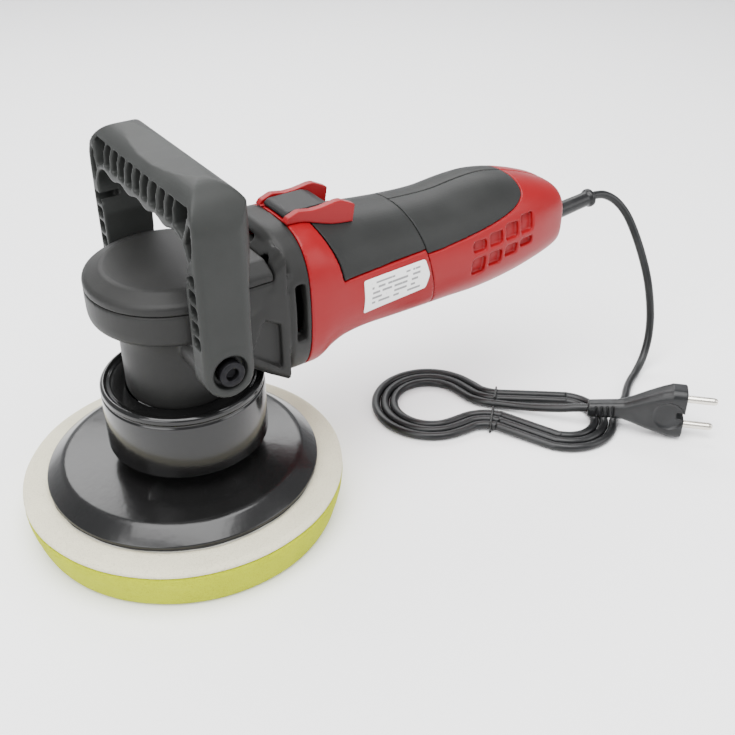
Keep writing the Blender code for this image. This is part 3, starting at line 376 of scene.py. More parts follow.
def fit(piece, body_name, slot_name, finish, *nodes):
    """Gives a finished piece its material, its body and the CAD nodes it stands for."""
    piece.data.materials.clear()
    piece.data.materials.append(finish.material)
    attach(piece, body_name)
    if nodes:
        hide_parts(*nodes)
    return piece


def along_relief(piece):
    """Moves a piece turned about X from the origin onto the strain relief's own axis."""
    rise = RELIEF_END - RELIEF_START
    tilt = Matrix.Rotation(-math.atan2(rise.z, rise.x), 4, "Y")
    piece.data.transform(Matrix.Translation(RELIEF_START * MM) @ tilt)
    return piece


relief_rubber = rubber_sheath("relief_rubber", (0.005, 0.0052, 0.0055))
relief_length = (RELIEF_END - RELIEF_START).length
relief_outline = softened(((2.9, -3.5), (6.0, -3.5), (6.0, 2.2), (5.4, 3.4), (4.8, relief_length - 7.0),
                           (4.9, relief_length - 4.6), (6.1, relief_length - 3.2),
                           (6.1, relief_length - 0.9), (4.9, relief_length), (2.9, relief_length)), 1.4)
strain_sleeve = along_relief(turned("strain_sleeve", relief_outline, axis="X", segments=64))
fit(strain_sleeve, "machine", "cord_rubber", relief_rubber, "strain_relief")


# ---------------------------------------- plug
# A flat two-pin plug of moulded rubber: ribbed tail, a triangular grip that flares to
# the face, a notched front with a corner tab each side, and two nickel-plated pins.

PLUG_AXIS_Z = 18.2
PLUG_FACE = 59.0                    # from the tail's end to the face
PLUG_HALF_TALL = 17.6
PIN_SPREAD = 9.5                    # from the plug's middle to a pin


def loft(name, sections):
    """A closed form through sections of equal count."""
    points = [p for section in sections for p in section]
    count = len(sections[0])
    faces = [tuple(reversed(range(count))),
             tuple(range(len(points) - count, len(points)))]
    for k in range(len(sections) - 1):
        for i in range(count):
            j = (i + 1) % count
            faces.append((k * count + i, k * count + j, (k + 1) * count + j, (k + 1) * count + i))
    return mesh_piece(name, points, faces)


def rounded_box(half_a, half_b, corner, steps=6, a0=0.0, b0=0.0):
    """A rectangle with round corners, as points round it."""
    outline = []
    for quarter, (sa, sb) in enumerate(((1, 1), (-1, 1), (-1, -1), (1, -1))):
        for k in range(steps + 1):
            angle = math.pi / 2 * (quarter + k / steps)
            outline.append((a0 + sa * (half_a - corner) + corner * math.cos(angle),
                            b0 + sb * (half_b - corner) + corner * math.sin(angle)))
    return outline


def prism(name, outline, start, end, axis="Z"):
    """A flat outline drawn out along an axis."""
    return loft(name, [[on_axis(axis, along, a, b) for a, b in outline] for along in (start, end)])


def block(name, low, high):
    """A plain box from its lowest to its highest corner."""
    return prism(name, ((low[0], low[1]), (high[0], low[1]), (high[0], high[1]), (low[0], high[1])),
                 low[2], high[2])


def applied(piece):
    """Turns a piece's modifiers into plain mesh and removes them."""
    graph = bpy.context.evaluated_depsgraph_get()
    mesh = bpy.data.meshes.new_from_object(piece.evaluated_get(graph))
    piece.modifiers.clear()
    piece.data = mesh
    return piece


def combine(piece, operation, *tools):
    """Joins, cuts or keeps the common part of closed forms; the tools are used up."""
    for tool in tools:
        change = piece.modifiers.new("change", "BOOLEAN")
        change.operation = operation
        change.solver = "EXACT"
        change.object = tool
        applied(piece)
        bpy.data.objects.remove(tool, do_unlink=True)
    return piece


def cut(piece, *tools):
    return combine(piece, "DIFFERENCE", *tools)


def keep(piece, *tools):
    return combine(piece, "INTERSECT", *tools)


def merge(piece, *tools):
    return combine(piece, "UNION", *tools)


def moulded(piece, grain_mm, rounds):
    """Rounds every edge the way a mould does: an even skin of small faces, then relaxed."""
    skin = piece.modifiers.new("skin", "REMESH")
    skin.mode = "VOXEL"
    skin.voxel_size = grain_mm * MM
    relax = piece.modifiers.new("relax", "SMOOTH")
    relax.factor = 0.5
    relax.iterations = rounds
    applied(piece)
    piece.data.shade_smooth()
    return piece


def in_hank(piece):
    """Moves a piece from the hank's own plan onto the bench."""
    piece.data.transform(Matrix.Scale(MM, 4) @ HANK_PLACE @ Matrix.Scale(1 / MM, 4))
    return piece


plug_rubber = rubber_sheath("plug_rubber", (0.006, 0.0063, 0.0067))
plug_rubber.shader.inputs["Roughness"].default_value = 0.5
tail_u, _, tail_z = PLUG_TAIL
plug_sections = []
for offset, half_v, half_z in ((0.0, 4.5, 4.5), (0.8, 5.0, 5.0), (6.0, 5.1, 5.2), (18.0, 5.3, 5.6),
                               (22.0, 5.6, 6.2), (27.0, 5.9, 8.2), (36.0, 6.7, 12.2), (44.0, 7.4, 15.4),
                               (49.0, 7.9, 17.0), (50.2, 8.1, PLUG_HALF_TALL),
                               (PLUG_FACE - 0.8, 8.1, PLUG_HALF_TALL), (PLUG_FACE, 7.4, 16.9)):
    height = tail_z + (PLUG_AXIS_Z - tail_z) * min(1.0, offset / 48.0)
    ring = rounded_box(half_v, half_z, min(half_v, half_z) * 0.7, 5, 0.0, height)
    plug_sections.append([(tail_u + offset, v, z) for v, z in ring])
plug_form = loft("plug_form", plug_sections)
plug_face_u = tail_u + PLUG_FACE
cut(plug_form, block("notch", (plug_face_u - 5.0, -12.0, PLUG_AXIS_Z - 2.2),
                     (plug_face_u + 4.0, 12.0, PLUG_AXIS_Z + 2.2)))
for v in (-9.6, 9.6):
    dished = turned("dish", softened(((0.0, -3.4), (9.0, -3.4), (11.5, 0.0), (9.0, 3.4), (0.0, 3.4)), 2.0),
                    (plug_face_u - 10.0, PLUG_AXIS_Z), "Y", 48)
    dished.data.transform(Matrix.Translation((0.0, v * MM, 0.0)))
    cut(plug_form, dished)
for k in range(4):
    for v in (-7.4, 7.4):
        u = tail_u + 4.6 + 3.4 * k
        cut(plug_form, block("flex_slot", (u, v - 3.4, 6.0), (u + 1.5, v + 3.4, 22.0)))
moulded(plug_form, 0.42, 3)
in_hank(plug_form)
fit(plug_form, "machine", "cord_rubber", plug_rubber, "plug_body")

nickel = Finish("nickel_plate", roughness=0.22, metallic=1.0)
plate_streaks = nickel.noise(500.0, 2.0, nickel.stretched(1.0, 1.0, 6.0))
nickel.dress(nickel.tint(nickel.noise(90.0), (0.62, 0.58, 0.5), (0.74, 0.71, 0.64)),
             0.16 + plate_streaks * 0.2, plate_streaks, 0.01)
for name, side in (("upper", 1), ("lower", -1)):
    pin_outline = softened(((0.0, plug_face_u - 2.0), (2.35, plug_face_u - 2.0), (2.35, plug_face_u + 16.6),
                            (2.0, plug_face_u + 18.1), (1.2, plug_face_u + 18.9),
                            (0.0, plug_face_u + 18.9)), 0.6)
    pin = turned("contact_pin_" + name, pin_outline, (0.0, PLUG_AXIS_Z + side * PIN_SPREAD), "X", 48)
    fit(in_hank(pin), "machine", "plug_metal", nickel, "plug_pin_" + name)


# ---------------------------------------- foam pad
# Two bonded layers of open-cell polyurethane foam, cut on a lathe: firm cream foam above,
# which takes the loop backing, and the yellow-green cutting foam below with its eased edge.

PAD_CENTRE = (-4.078, 1.902)
PAD_FLAT_R = 60.0                   # inside this radius the faces stay as turned


def foam(name, base, pore_shade, cell_mm):
    """Open-cell foam: pores of mixed sizes with painted shade inside them, and soft blotches of colour."""
    soft = Finish(name, roughness=0.95, Specular_IOR_Level=0.05)
    pores = soft.cells(1000.0 / cell_mm)
    large = soft.cells(310.0 / cell_mm)
    blotch = soft.noise(45.0, 4.0)
    open_share = soft.step(pores, 0.02, 0.55)
    large_share = soft.step(large, 0.0, 0.3)
    # the darker of the two colours, pore_shade, is painted shade inside the open pores, where the bump is
    # lowest
    mixed = soft.tint(open_share * 0.65 + large_share * 0.35, pore_shade, base)
    paler = tuple(min(1.0, c * 1.12) for c in base)
    colour = soft.tint(soft.step(blotch, 0.35, 0.75) * 0.45, mixed, paler)
    soft.shader.inputs["Sheen Weight"].default_value = 0.04
    soft.shader.inputs["Sheen Roughness"].default_value = 0.6
    return soft.dress(colour, 0.86 + blotch * 0.1, open_share + large_share * 0.8, 0.35, 0.6)


def uneven(piece, amount_mm, wave_mm):
    """Lets a turned edge of the pad wander a little, as a cut one does."""
    for vertex in piece.data.vertices:
        x, y = vertex.co.x / MM - PAD_CENTRE[0], vertex.co.y / MM - PAD_CENTRE[1]
        radius, angle = math.hypot(x, y), math.atan2(y, x)
        if radius < PAD_FLAT_R:
            continue
        waves = 2 * math.pi * radius / wave_mm
        drift = (0.6 * math.sin(angle * round(waves / 9) + 1.3)
                 + 0.4 * math.sin(angle * round(waves / 4) + vertex.co.z * 900))
        scale = 1 + amount_mm * drift / radius
        vertex.co.x = (PAD_CENTRE[0] + x * scale) * MM
        vertex.co.y = (PAD_CENTRE[1] + y * scale) * MM
    return piece


yellow = foam("cutting_foam", (0.34, 0.375, 0.0005), (0.2, 0.225, 0.0003), 0.9)
lower_outline = softened(((0.0, 0.0), (PAD_FLAT_R, 0.0), (82.5, 0.0), (85.0, 1.4), (86.6, 6.0), (88.3, 12.5),
                          (89.5, 18.0), (89.9, 23.9), (PAD_FLAT_R, 24.0), (0.0, 24.0)), 2.2, 4)
cutting_layer = uneven(turned("cutting_layer", lower_outline, PAD_CENTRE, "Z", 240), 0.18, 14.0)
fit(cutting_layer, "pad", "yellow_foam", yellow, "yellow_foam")

cream = foam("backing_foam", (0.56, 0.53, 0.40), (0.40, 0.37, 0.26), 0.8)
upper_outline = softened(((0.0, 24.2), (PAD_FLAT_R, 24.2), (89.6, 24.2), (89.8, 26.2), (87.0, 27.7),
                          (76.0, 27.8), (PAD_FLAT_R, 27.8), (0.0, 27.8)), 1.6, 4)
backing_layer = uneven(turned("backing_layer", upper_outline, PAD_CENTRE, "Z", 240), 0.18, 11.0)
fit(backing_layer, "pad", "cream_foam", cream, "cream_foam")


# ---------------------------------------- loop and hook discs
# Touch-fastener: a white loop fabric bonded to the foam and black hooks on the plate.
# Only their fuzzy edges show under the plate's rim.

def woven_edge(name, base):
    """Fuzzy fabric in one colour, with painted shade between its fibres."""
    cloth = Finish(name, roughness=0.95)
    fuzz = cloth.noise(1500.0, 2.0)
    # the darker colour, 0.6 of the base, is painted shade between the fibres, mixed in by the fibre noise
    return cloth.dress(cloth.tint(fuzz, base, tuple(c * 0.6 for c in base)), None, fuzz, 0.2, 0.8)


loop_fabric = woven_edge("loop_fabric", (0.5, 0.49, 0.44))
hook_fabric = woven_edge("hook_fabric", (0.02, 0.02, 0.02))
loop_disc = turned("loop_backing", softened(((0.0, 27.9), (74.6, 27.9), (75.2, 28.6), (74.4, 29.0),
                                             (0.0, 29.0)), 0.3), PAD_CENTRE, "Z", 200)
fit(uneven(loop_disc, 0.3, 7.0), "pad", "loop_fabric", loop_fabric, "loop_disc")
hook_disc = turned("hook_backing", softened(((0.0, 29.1), (74.9, 29.1), (75.3, 29.7), (74.9, 30.2),
                                             (0.0, 30.2)), 0.3), PAD_CENTRE, "Z", 200)
fit(uneven(hook_disc, 0.25, 5.0), "pad", "hook_fabric", hook_fabric, "hook_disc")


# ---------------------------------------- backing plate
# A disc moulded in glossy black polyurethane with a wide bevelled rim and a raised hub,
# screwed to the pad spindle from below.

def gloss_moulding(name, base, roughness, orange_peel_mm):
    """Glossy black moulding: slight orange peel, hairline swirls and a film of dust."""
    gloss = Finish(name, roughness=roughness, Specular_IOR_Level=0.3, Coat_Weight=0.12, Coat_Roughness=0.05)
    peel = gloss.noise(240.0, 2.0)
    swirls = gloss.noise(900.0, 5.0, gloss.stretched(1.0, 1.0, 0.12))
    dust = gloss.step(gloss.noise(38.0, 5.0), 0.56, 0.85)
    colour = gloss.tint(dust * 0.5, base, tuple(c + 0.006 for c in base))
    rough = roughness + swirls * 0.06 + dust * 0.08
    return gloss.dress(colour, rough, peel + swirls * 0.12, orange_peel_mm, 0.5)


plate_black = gloss_moulding("plate_black", (0.006, 0.006, 0.006), 0.2, 0.16)
plate_outline = softened(((8.4, 30.3), (74.8, 30.3), (75.5, 30.9), (75.5, 32.2), (67.0, 38.5), (64.8, 39.2),
                          (25.0, 40.7), (20.5, 42.0), (16.5, 46.0), (8.4, 46.0)), 1.1, 5)
plate = turned("sanding_plate", plate_outline, PAD_CENTRE, "Z", 224)
fit(plate, "pad", "plate_black", plate_black, "backing_plate")


# ---------------------------------------- shroud
# A deep-drawn collar in glossy black that hides the counterweight, with a rolled bead
# round its dished top and a fine groove under the bead.

shroud_black = gloss_moulding("shroud_black", (0.005, 0.005, 0.005), 0.12, 0.05)
shroud_outline = softened(((40.6, 82.0), (41.4, 51.0), (43.6, 51.0), (44.0, 51.6), (44.0, 82.4), (43.2, 83.2),
                           (43.3, 84.2), (44.0, 85.0), (43.9, 87.2), (42.4, 88.5), (40.4, 87.9),
                           (38.6, 86.6), (30.3, 85.6), (30.3, 83.6), (38.6, 83.6)), 0.7, 4)
shroud = turned("counterweight_shroud", shroud_outline, (0.0, 0.0), "Z", 192)
fit(shroud, "machine", "shroud_black", shroud_black, "shroud")


# ---------------------------------------- gear case
# The die-cast head, painted satin charcoal: a plain neck, the round gear case, two bosses
# that carry the handle, and boxy cheeks that widen to the motor flange.

PIVOT_Z = 122.0
PIVOT = (0.0, PIVOT_Z)
MOTOR_Z = 125.0
HEAD_SPLIT = 148.0
FLANGE_MIDDLE = 123.0
CHEEK_RECESS = ((25.0, 108.0), (42.0, 95.0), (42.0, 122.0), (33.0, 127.0))
FLANGE_SCREWS = [(side * 25.5, FLANGE_MIDDLE + up * 30.0) for side in (-1, 1) for up in (-1, 1)]


def cast_paint(name, base, grain_mm):
    """Satin paint or filled plastic: a fine leather grain, worn a little smoother in patches."""
    paint = Finish(name, roughness=0.5, Specular_IOR_Level=0.16)
    grain = paint.noise(1500.0, 2.0)
    patches = paint.noise(26.0, 4.0)
    colour = paint.tint(paint.step(patches, 0.35, 0.75) * 0.6, base, tuple(c * 1.25 + 0.004 for c in base))
    return paint.dress(colour, 0.4 + patches * 0.14, grain + patches * 0.6, grain_mm, 0.7)


def superellipse(ca, cb, ra, rb, power, count):
    """An oval that nears a rectangle as the power grows."""
    outline = []
    for k in range(count):
        angle = 2 * math.pi * k / count
        c, s = math.cos(angle), math.sin(angle)
        outline.append((ca + ra * math.copysign(abs(c) ** (2 / power), c),
                        cb + rb * math.copysign(abs(s) ** (2 / power), s)))
    return outline


def nose_solid(name, levels):
    """Stacked outlines (radius, half width, rear, height): round in front, straight behind."""
    sections = []
    for radius, half_width, rear, z in levels:
        start = math.asin(half_width / radius)
        ring = [(rear, -half_width, z)]
        for k in range(61):
            angle = -start - (2 * math.pi - 2 * start) * k / 60
            ring.append((radius * math.cos(angle), radius * math.sin(angle), z))
        sections.append(ring + [(rear, half_width, z)])
    return loft(name, sections)


def sided(name, side, make):
    """A form made for the left, |y| growing outwards, or its mirror image on the right."""
    form = make(name)
    if side < 0:
        form.data.transform(Matrix.Scale(-1.0, 4, (0.0, 1.0, 0.0)))
        form.data.flip_normals()
    return form


def rod(name, radius, start, end, centre=(0.0, 0.0), axis="Z", segments=48):
    """A plain round bar."""
    return turned(name, ((0.0, start), (radius, start), (radius, end), (0.0, end)), centre, axis, segments)


case = nose_solid("gear_case", ((40.6, 33.7, 50.0, 130.0), (42.4, 35.0, 50.0, 131.0),
                                (43.2, 35.6, 50.0, 133.0), (43.5, 36.0, 50.0, 136.0),
                                (43.5, 36.0, 50.0, HEAD_SPLIT - 0.3)))
neck = turned("neck", softened(((0.0, 82.5), (30.0, 82.5), (30.0, 118.0), (31.2, 124.5), (35.0, 131.5),
                                (0.0, 131.5)), 5.0), segments=128)
flange_rings = []
for x, grow in ((45.0, -3.4), (46.0, -2.4), (48.0, -0.6), (49.6, 0.0), (59.7, 0.0)):
    ring = superellipse(0.0, FLANGE_MIDDLE, 38.0 + grow, 43.0 + grow, 2.9, 96)
    flange_rings.append([(x, y, z) for y, z in ring])
cheek_rings = []
for x, half_y, low, high in ((12.0, 29.0, 114.0, 147.6), (22.0, 34.6, 101.0, 147.6),
                             (36.0, 36.4, 91.0, 147.6), (39.7, 36.6, 88.8, 147.6),
                             (40.0, 36.6, 88.6, 156.0), (46.5, 37.2, 84.5, 162.0)):
    ring = rounded_box(half_y, (high - low) / 2, 6.0, 4, 0.0, (high + low) / 2)
    cheek_rings.append([(x, y, z) for y, z in ring])
web = prism("web", ((10.0, 97.0), (30.0, 90.2), (47.0, 90.2), (47.0, 140.0), (10.0, 140.0)), -19.0, 19.0, "Y")
merge(case, neck, loft("flange", flange_rings), loft("cheeks", cheek_rings), web,
      rod("boss", 11.5, -48.6, 48.6, PIVOT, "Y"))
cavity = turned("cavity", ((0.0, 80.0), (26.8, 80.0), (26.8, 100.0), (19.4, 100.0), (19.4, 112.3),
                           (24.0, 112.3), (24.0, 132.6), (36.5, 132.6), (36.5, 152.0), (0.0, 152.0)))
shaft_bore = turned("shaft_bore", ((0.0, 8.0), (13.4, 8.0), (13.4, 39.6), (11.3, 39.6), (11.3, 48.0),
                                   (33.0, 48.0), (33.0, 70.0), (0.0, 70.0)), (0.0, MOTOR_Z), "X", 64)
cut(case, cavity, shaft_bore,
    block("top_slot", (42.0, -8.0, 156.6), (49.6, 8.0, 160.0)))
for side in (-1, 1):
    cut(case, sided("cheek_recess", side, lambda name: prism(name, CHEEK_RECESS, 33.4, 44.0, "Y")),
        sided("outlet", side, lambda name: block(name, (51.3, 30.0, 108.3), (57.1, 44.0, 141.2))),
        sided("bolt_hole", side, lambda name: rod(name, 4.3, 26.0, 52.0, PIVOT, "Y")))
for y, z in FLANGE_SCREWS:
    cut(case, rod("screw_hole", 2.3, 30.0, 70.0, (y, z), "X", 32),
        rod("head_seat", 4.4, 30.0, 51.0, (y, z), "X", 32))
head_paint = cast_paint("head_paint", (0.013, 0.013, 0.0125), 0.05)
fit(moulded(case, 0.86, 4), "machine", "gear_case", head_paint, "gear_housing")


# ---------------------------------------- head cover
# The cap over the gears, cast and painted like the case: a flat crown in a broad sloping
# rim, closed on the case along a fine joint.

cover = nose_solid("head_cap", ((43.1, 35.6, 41.6, 148.0), (43.5, 36.0, 41.6, 148.5),
                                (43.5, 36.0, 41.6, 151.2), (43.0, 35.5, 41.6, 152.4),
                                (41.6, 34.3, 41.6, 153.5), (35.6, 29.0, 41.6, 156.1),
                                (34.6, 28.2, 41.4, 156.6), (32.6, 26.6, 41.0, 157.0)))
cut(cover, turned("recess", ((0.0, 140.0), (36.5, 140.0), (36.5, 150.4), (11.3, 150.4), (11.3, 154.2),
                             (0.0, 154.2))),
    block("flange_room", (39.4, -50.0, 140.0), (70.0, 50.0, 170.0)))
fit(moulded(cover, 0.6, 2), "machine", "gear_case", head_paint, "head_cover")


# ---------------------------------------- loop handle
# Moulded in glass-filled nylon as one loop: smooth outside, ribbed into pockets in front,
# with shallow finger rests under the bar and a deep bolt recess in each eye.

ARM_IN = 49.0
ARM_OUT = 62.0
BAR_UNDER = 192.0
BAR_TOP = 214.0
EYE_R = 13.5
RIB = 2.3
BAR_PITCH = 9.1                     # from one pocket to the next along the bar, and up an arm
ARM_PITCH = 8.2
RECESS_FLOOR = ARM_OUT - 4.6


def arc(ca, cb, radius, start, end, steps):
    """Points along an arc between two angles in degrees."""
    points = []
    for k in range(steps + 1):
        angle = math.radians(start + (end - start) * k / steps)
        points.append((ca + radius * math.cos(angle), cb + radius * math.sin(angle)))
    return points


def both_sides(half):
    """A path from the left eye up and over to the right one, given its left half."""
    return half + [(-y, z) for y, z in reversed(half)]


outer_side = both_sides([(ARM_OUT, PIVOT_Z - 3.0), (ARM_OUT, 170.0)]
                        + arc(ARM_OUT - 22.0, BAR_TOP - 22.0, 22.0, 0, 90, 16)
                        + [(24.0, BAR_TOP - 1.8), (8.0, BAR_TOP - 3.2)])
finger_rests = [(41.0 - 82.0 * k / 48, BAR_UNDER - 1.1 + 1.1 * math.cos(2 * math.pi * k / 12))
                for k in range(1, 48)]
inner_half = [(ARM_IN, PIVOT_Z - 3.0), (ARM_IN, 165.0)] + arc(ARM_IN - 8.0, BAR_UNDER - 12.0, 12.0, 0, 90, 10)
inner_side = inner_half + finger_rests + [(-y, z) for y, z in reversed(inner_half)]
handle = prism("loop_handle", outer_side + list(reversed(inner_side)), -13.0, 19.0, "X")
for side in (-1, 1):
    merge(handle, sided("eye", side, lambda name: rod(name, EYE_R, ARM_IN, ARM_OUT + 0.3, PIVOT, "Y", 96)))
profile = softened([(-14.0, 100.0), (14.0, 100.0), (13.2, 134.0), (14.0, 168.0), (19.0, 190.0)], 12.0, 5)
profile += arc(3.6, 198.6, 15.4, 0, 180, 24) + [(-12.6, 190.0)]
plan = (arc(-8.8, 57.7, 4.5, 180, 90, 6) + arc(7.2, 50.2, 12.0, 90, 0, 10)
        + arc(7.2, -50.2, 12.0, 0, -90, 10) + arc(-8.8, -57.7, 4.5, -90, -180, 6))
keep(handle, prism("profile", profile, -70.0, 70.0, "Y"),
     prism("plan", plan, 90.0, 230.0))
pockets = []
for k in range(9):
    y = -41.0 + BAR_PITCH * k + RIB / 2
    pockets.append(block("pocket", (-30.0, y, BAR_UNDER + 2.4), (-1.0, y + BAR_PITCH - RIB, 206.0)))
for side in (-1, 1):
    for k in range(5):
        base = 137.0 + ARM_PITCH * k
        pockets.append(sided("pocket", side, lambda name: block(
            name, (-30.0, ARM_IN + 2.4, base), (-2.0, ARM_OUT - 3.2, base + ARM_PITCH - RIB))))
    for low, high, outer_low, outer_high in ((2, 42, -22, 28), (50, 88, 38, 88)):
        corner = (arc(ARM_IN - 8.0, BAR_UNDER - 12.0, 14.4, low, high, 5)
                  + arc(ARM_OUT - 22.0, BAR_TOP - 22.0, 18.8, outer_high, outer_low, 8))
        corner = [(y, min(z, 206.4)) for y, z in corner]
        pockets.append(sided("pocket", side, lambda name: prism(name, corner, -30.0, -2.0, "X")))
    pockets.append(sided("bolt_recess", side, lambda name: turned(
        name, ((0.0, 40.0), (4.4, 40.0), (4.4, RECESS_FLOOR), (9.0, RECESS_FLOOR), (9.0, 71.0), (0.0, 71.0)),
        PIVOT, "Y", 70)))
cut(handle, *pockets)
nylon = cast_paint("handle_nylon", (0.017, 0.018, 0.017), 0.06)
fit(moulded(handle, 0.8, 3), "handle", "handle_plastic", nylon, "d_handle")


# ---------------------------------------- handle bolts and flange screws
# Black-oxide socket bolts through the handle's eyes, and zinc-plated screws that hold the
# motor housing to the flange.

black_oxide = Finish("black_oxide", roughness=0.38, metallic=1.0)
black_oxide.dress(black_oxide.tint(black_oxide.noise(300.0), (0.010, 0.010, 0.011), (0.022, 0.022, 0.024)),
                  0.42 + black_oxide.noise(700.0) * 0.2, black_oxide.noise(1200.0), 0.01)
bolt_seat = ARM_OUT - 4.2
bolt_outline = softened(((0.0, 31.0), (3.9, 31.0), (4.0, bolt_seat), (6.6, bolt_seat), (6.6, bolt_seat + 6.0),
                         (3.3, bolt_seat + 6.0), (2.9, bolt_seat + 2.6), (0.0, bolt_seat + 2.2)), 0.7)
for name, side in (("left", 1), ("right", -1)):
    bolt = sided("pivot_bolt_" + name, side,
                 lambda given: turned(given, bolt_outline, PIVOT, "Y", 64))
    fit(bolt, "machine", "dark_steel", black_oxide, "handle_bolt_" + name)

zinc = Finish("zinc_plate", roughness=0.3, metallic=1.0)
zinc.dress(zinc.tint(zinc.noise(200.0), (0.5, 0.5, 0.52), (0.66, 0.66, 0.67)), 0.25 + zinc.noise(500.0) * 0.2,
           zinc.noise(1500.0), 0.01)
screw_outline = softened(((0.0, 47.6), (1.6, 47.4), (2.0, 46.4), (4.0, 46.8), (4.0, 50.7), (2.0, 50.7),
                          (2.0, 73.4), (0.0, 74.0)), 0.5)
for k, (y, z) in enumerate(FLANGE_SCREWS, start=1):
    fit(turned("housing_screw_%d" % k, screw_outline, (y, z), "X", 48), "machine", "steel", zinc,
        "flange_screw_%d" % k)


# ---------------------------------------- motor housing
# Red glass-filled nylon barrel, its roof and flanks covered by a soft black skin that is
# moulded on; only a front band and the lower half stay red.

WALL = 2.5
GRIP_DEPTH = 2.0
GAP = 0.3
RAIL_UNDER = 149.8
RAIL_TOP = 151.0
BODY = (                            # x, centre height, half width, half height, squareness
    (60.0, 123.0, 38.0, 43.0, 2.9), (69.0, 123.0, 38.0, 42.5, 2.8), (77.0, 124.0, 37.4, 39.2, 2.6),
    (87.0, 124.0, 36.2, 36.6, 2.4), (102.0, 123.7, 35.2, 35.2, 2.3), (122.0, 122.4, 34.2, 34.3, 2.3),
    (142.0, 121.4, 33.4, 33.8, 2.3), (162.0, 121.1, 33.0, 33.6, 2.3), (182.0, 121.8, 32.8, 34.9, 2.3),
    (198.0, 122.4, 32.2, 34.8, 2.3), (214.0, 122.4, 31.0, 32.2, 2.4), (228.0, 122.2, 29.0, 28.4, 2.6),
    (240.0, 121.8, 26.4, 24.4, 2.9), (248.0, 121.4, 24.0, 21.4, 3.1), (251.0, 121.0, 22.2, 19.6, 3.1),
    (252.0, 120.8, 20.6, 18.0, 3.1),
)


def body_at(x):
    """Centre height, half width, half height and squareness at x, on a smooth curve."""
    for k in range(len(BODY) - 1):
        if x <= BODY[k + 1][0]:
            break
    here, following = BODY[k], BODY[k + 1]
    before, after = BODY[max(k - 1, 0)], BODY[min(k + 2, len(BODY) - 1)]
    span = following[0] - here[0]
    t = (x - here[0]) / span
    values = []
    for n in range(1, 5):
        slope_a = (following[n] - before[n]) / (following[0] - before[0]) * span
        slope_b = (after[n] - here[n]) / (after[0] - here[0]) * span
        values.append((2 * t ** 3 - 3 * t ** 2 + 1) * here[n] + (t ** 3 - 2 * t ** 2 + t) * slope_a
                      + (3 * t ** 2 - 2 * t ** 3) * following[n] + (t ** 3 - t ** 2) * slope_b)
    return values


def skin(name, start, end, inset, steps=40, count=96):
    """The body's outer shape between two stations, moved inwards by the inset."""
    sections = []
    for k in range(steps + 1):
        x = start + (end - start) * k / steps
        cz, ry, rz, power = body_at(min(max(x, BODY[0][0]), BODY[-1][0]))
        sections.append([(x, y, z) for y, z in superellipse(0.0, cz, ry - inset, rz - inset, power, count)])
    return loft(name, sections)


def split_x(z):
    """The joint between the motor housing and the rear shells leans forward as it rises."""
    return 142.0 - (z - 121.0) * 0.24


def side_of_split(far_x, offset):
    """Side view of all that lies on one side of that joint."""
    return ((far_x, 60.0), (split_x(60.0) + offset, 60.0), (split_x(190.0) + offset, 190.0), (far_x, 190.0))


def side_view(name, outline):
    """An outline seen from the side, drawn out across the whole body."""
    return prism(name, outline, -60.0, 60.0, "Y")


def rail_channel():
    """The groove under the roof of the housings where the switch rail slides."""
    return block("rail_channel", (73.8, -3.3, 146.0), (168.0, 3.3, RAIL_TOP + 0.4))


def front_region(grow):
    """Side view of the soft skin on the motor housing, its front edge curved."""
    edge = softened(((82.0 - grow, 135.0 - grow), (80.5 - grow, 145.0), (77.5 - grow, 154.0),
                     (73.0 - grow, 166.0), (72.0 - grow, 180.0)), 5.0)
    return ((150.0, 136.2 - grow), *edge, (150.0, 180.0))


def rear_region(grow):
    """Side view of the soft skin on the rear housing, sweeping up to the tail."""
    edge = softened(((120.0, 133.0 - grow), (150.0, 133.2 - grow), (172.0, 135.4 - grow),
                     (192.0, 138.6 - grow), (207.0, 142.4 - grow), (215.0 + grow, 147.0 - grow),
                     (217.0 + grow, 154.0), (214.0 + grow, 180.0)), 6.0)
    return (*edge, (120.0, 180.0))


def half_space(side):
    """Everything on one side of the seam along the rear housing."""
    near, far = sorted((side * GAP / 2, side * 60.0))
    return block("half_space", (100.0, near, 60.0), (260.0, far, 190.0))


def soft_shell(name, start, end, region):
    """A soft skin: one region of the body's outside, as deep as the grip."""
    shell = skin(name, start, end, 0.0)
    cut(shell, skin("inner", start - 2.0, end + 2.0, GRIP_DEPTH))
    return keep(shell, side_view("region", region))


def seat(start, end, region):
    """What a soft skin and its clearance take out of a housing."""
    room = skin("seat", start, end, -3.0)
    cut(room, skin("core", start - 2.0, end + 2.0, GRIP_DEPTH + GAP))
    return keep(room, side_view("region", region))


red_nylon = Finish("red_nylon", roughness=0.36, Specular_IOR_Level=0.2)
red_grain = red_nylon.noise(1300.0, 2.0)
red_cloud = red_nylon.noise(20.0, 3.0)
red_nylon.dress(red_nylon.tint(red_cloud, (0.175, 0.0018, 0.004), (0.215, 0.003, 0.006)),
                0.3 + red_cloud * 0.14, red_grain, 0.03, 0.5)
soft_rubber = cast_paint("soft_rubber", (0.012, 0.0125, 0.012), 0.07)

barrel = skin("motor_barrel", 60.0, 156.0, 0.0, 48)
hollow = skin("hollow", 58.0, 158.0, WALL + GRIP_DEPTH)
for y, z in FLANGE_SCREWS:
    cut(hollow, rod("post", 5.0, 50.0, 80.0, (y, z), "X", 32))
cut(barrel, hollow)
keep(barrel, side_view("front", side_of_split(30.0, -GAP / 2)))
cut(barrel, seat(62.0, 156.0, front_region(0.8)),
    block("stem_slot", (73.5, -3.4, 140.0), (88.5, 3.4, 175.0)),
    rail_channel(),
    *[rod("pilot", 2.3, 55.0, 76.0, (y, z), "X", 32) for y, z in FLANGE_SCREWS])
fit(moulded(barrel, 0.75, 2), "machine", "red_shell", red_nylon, "motor_housing")

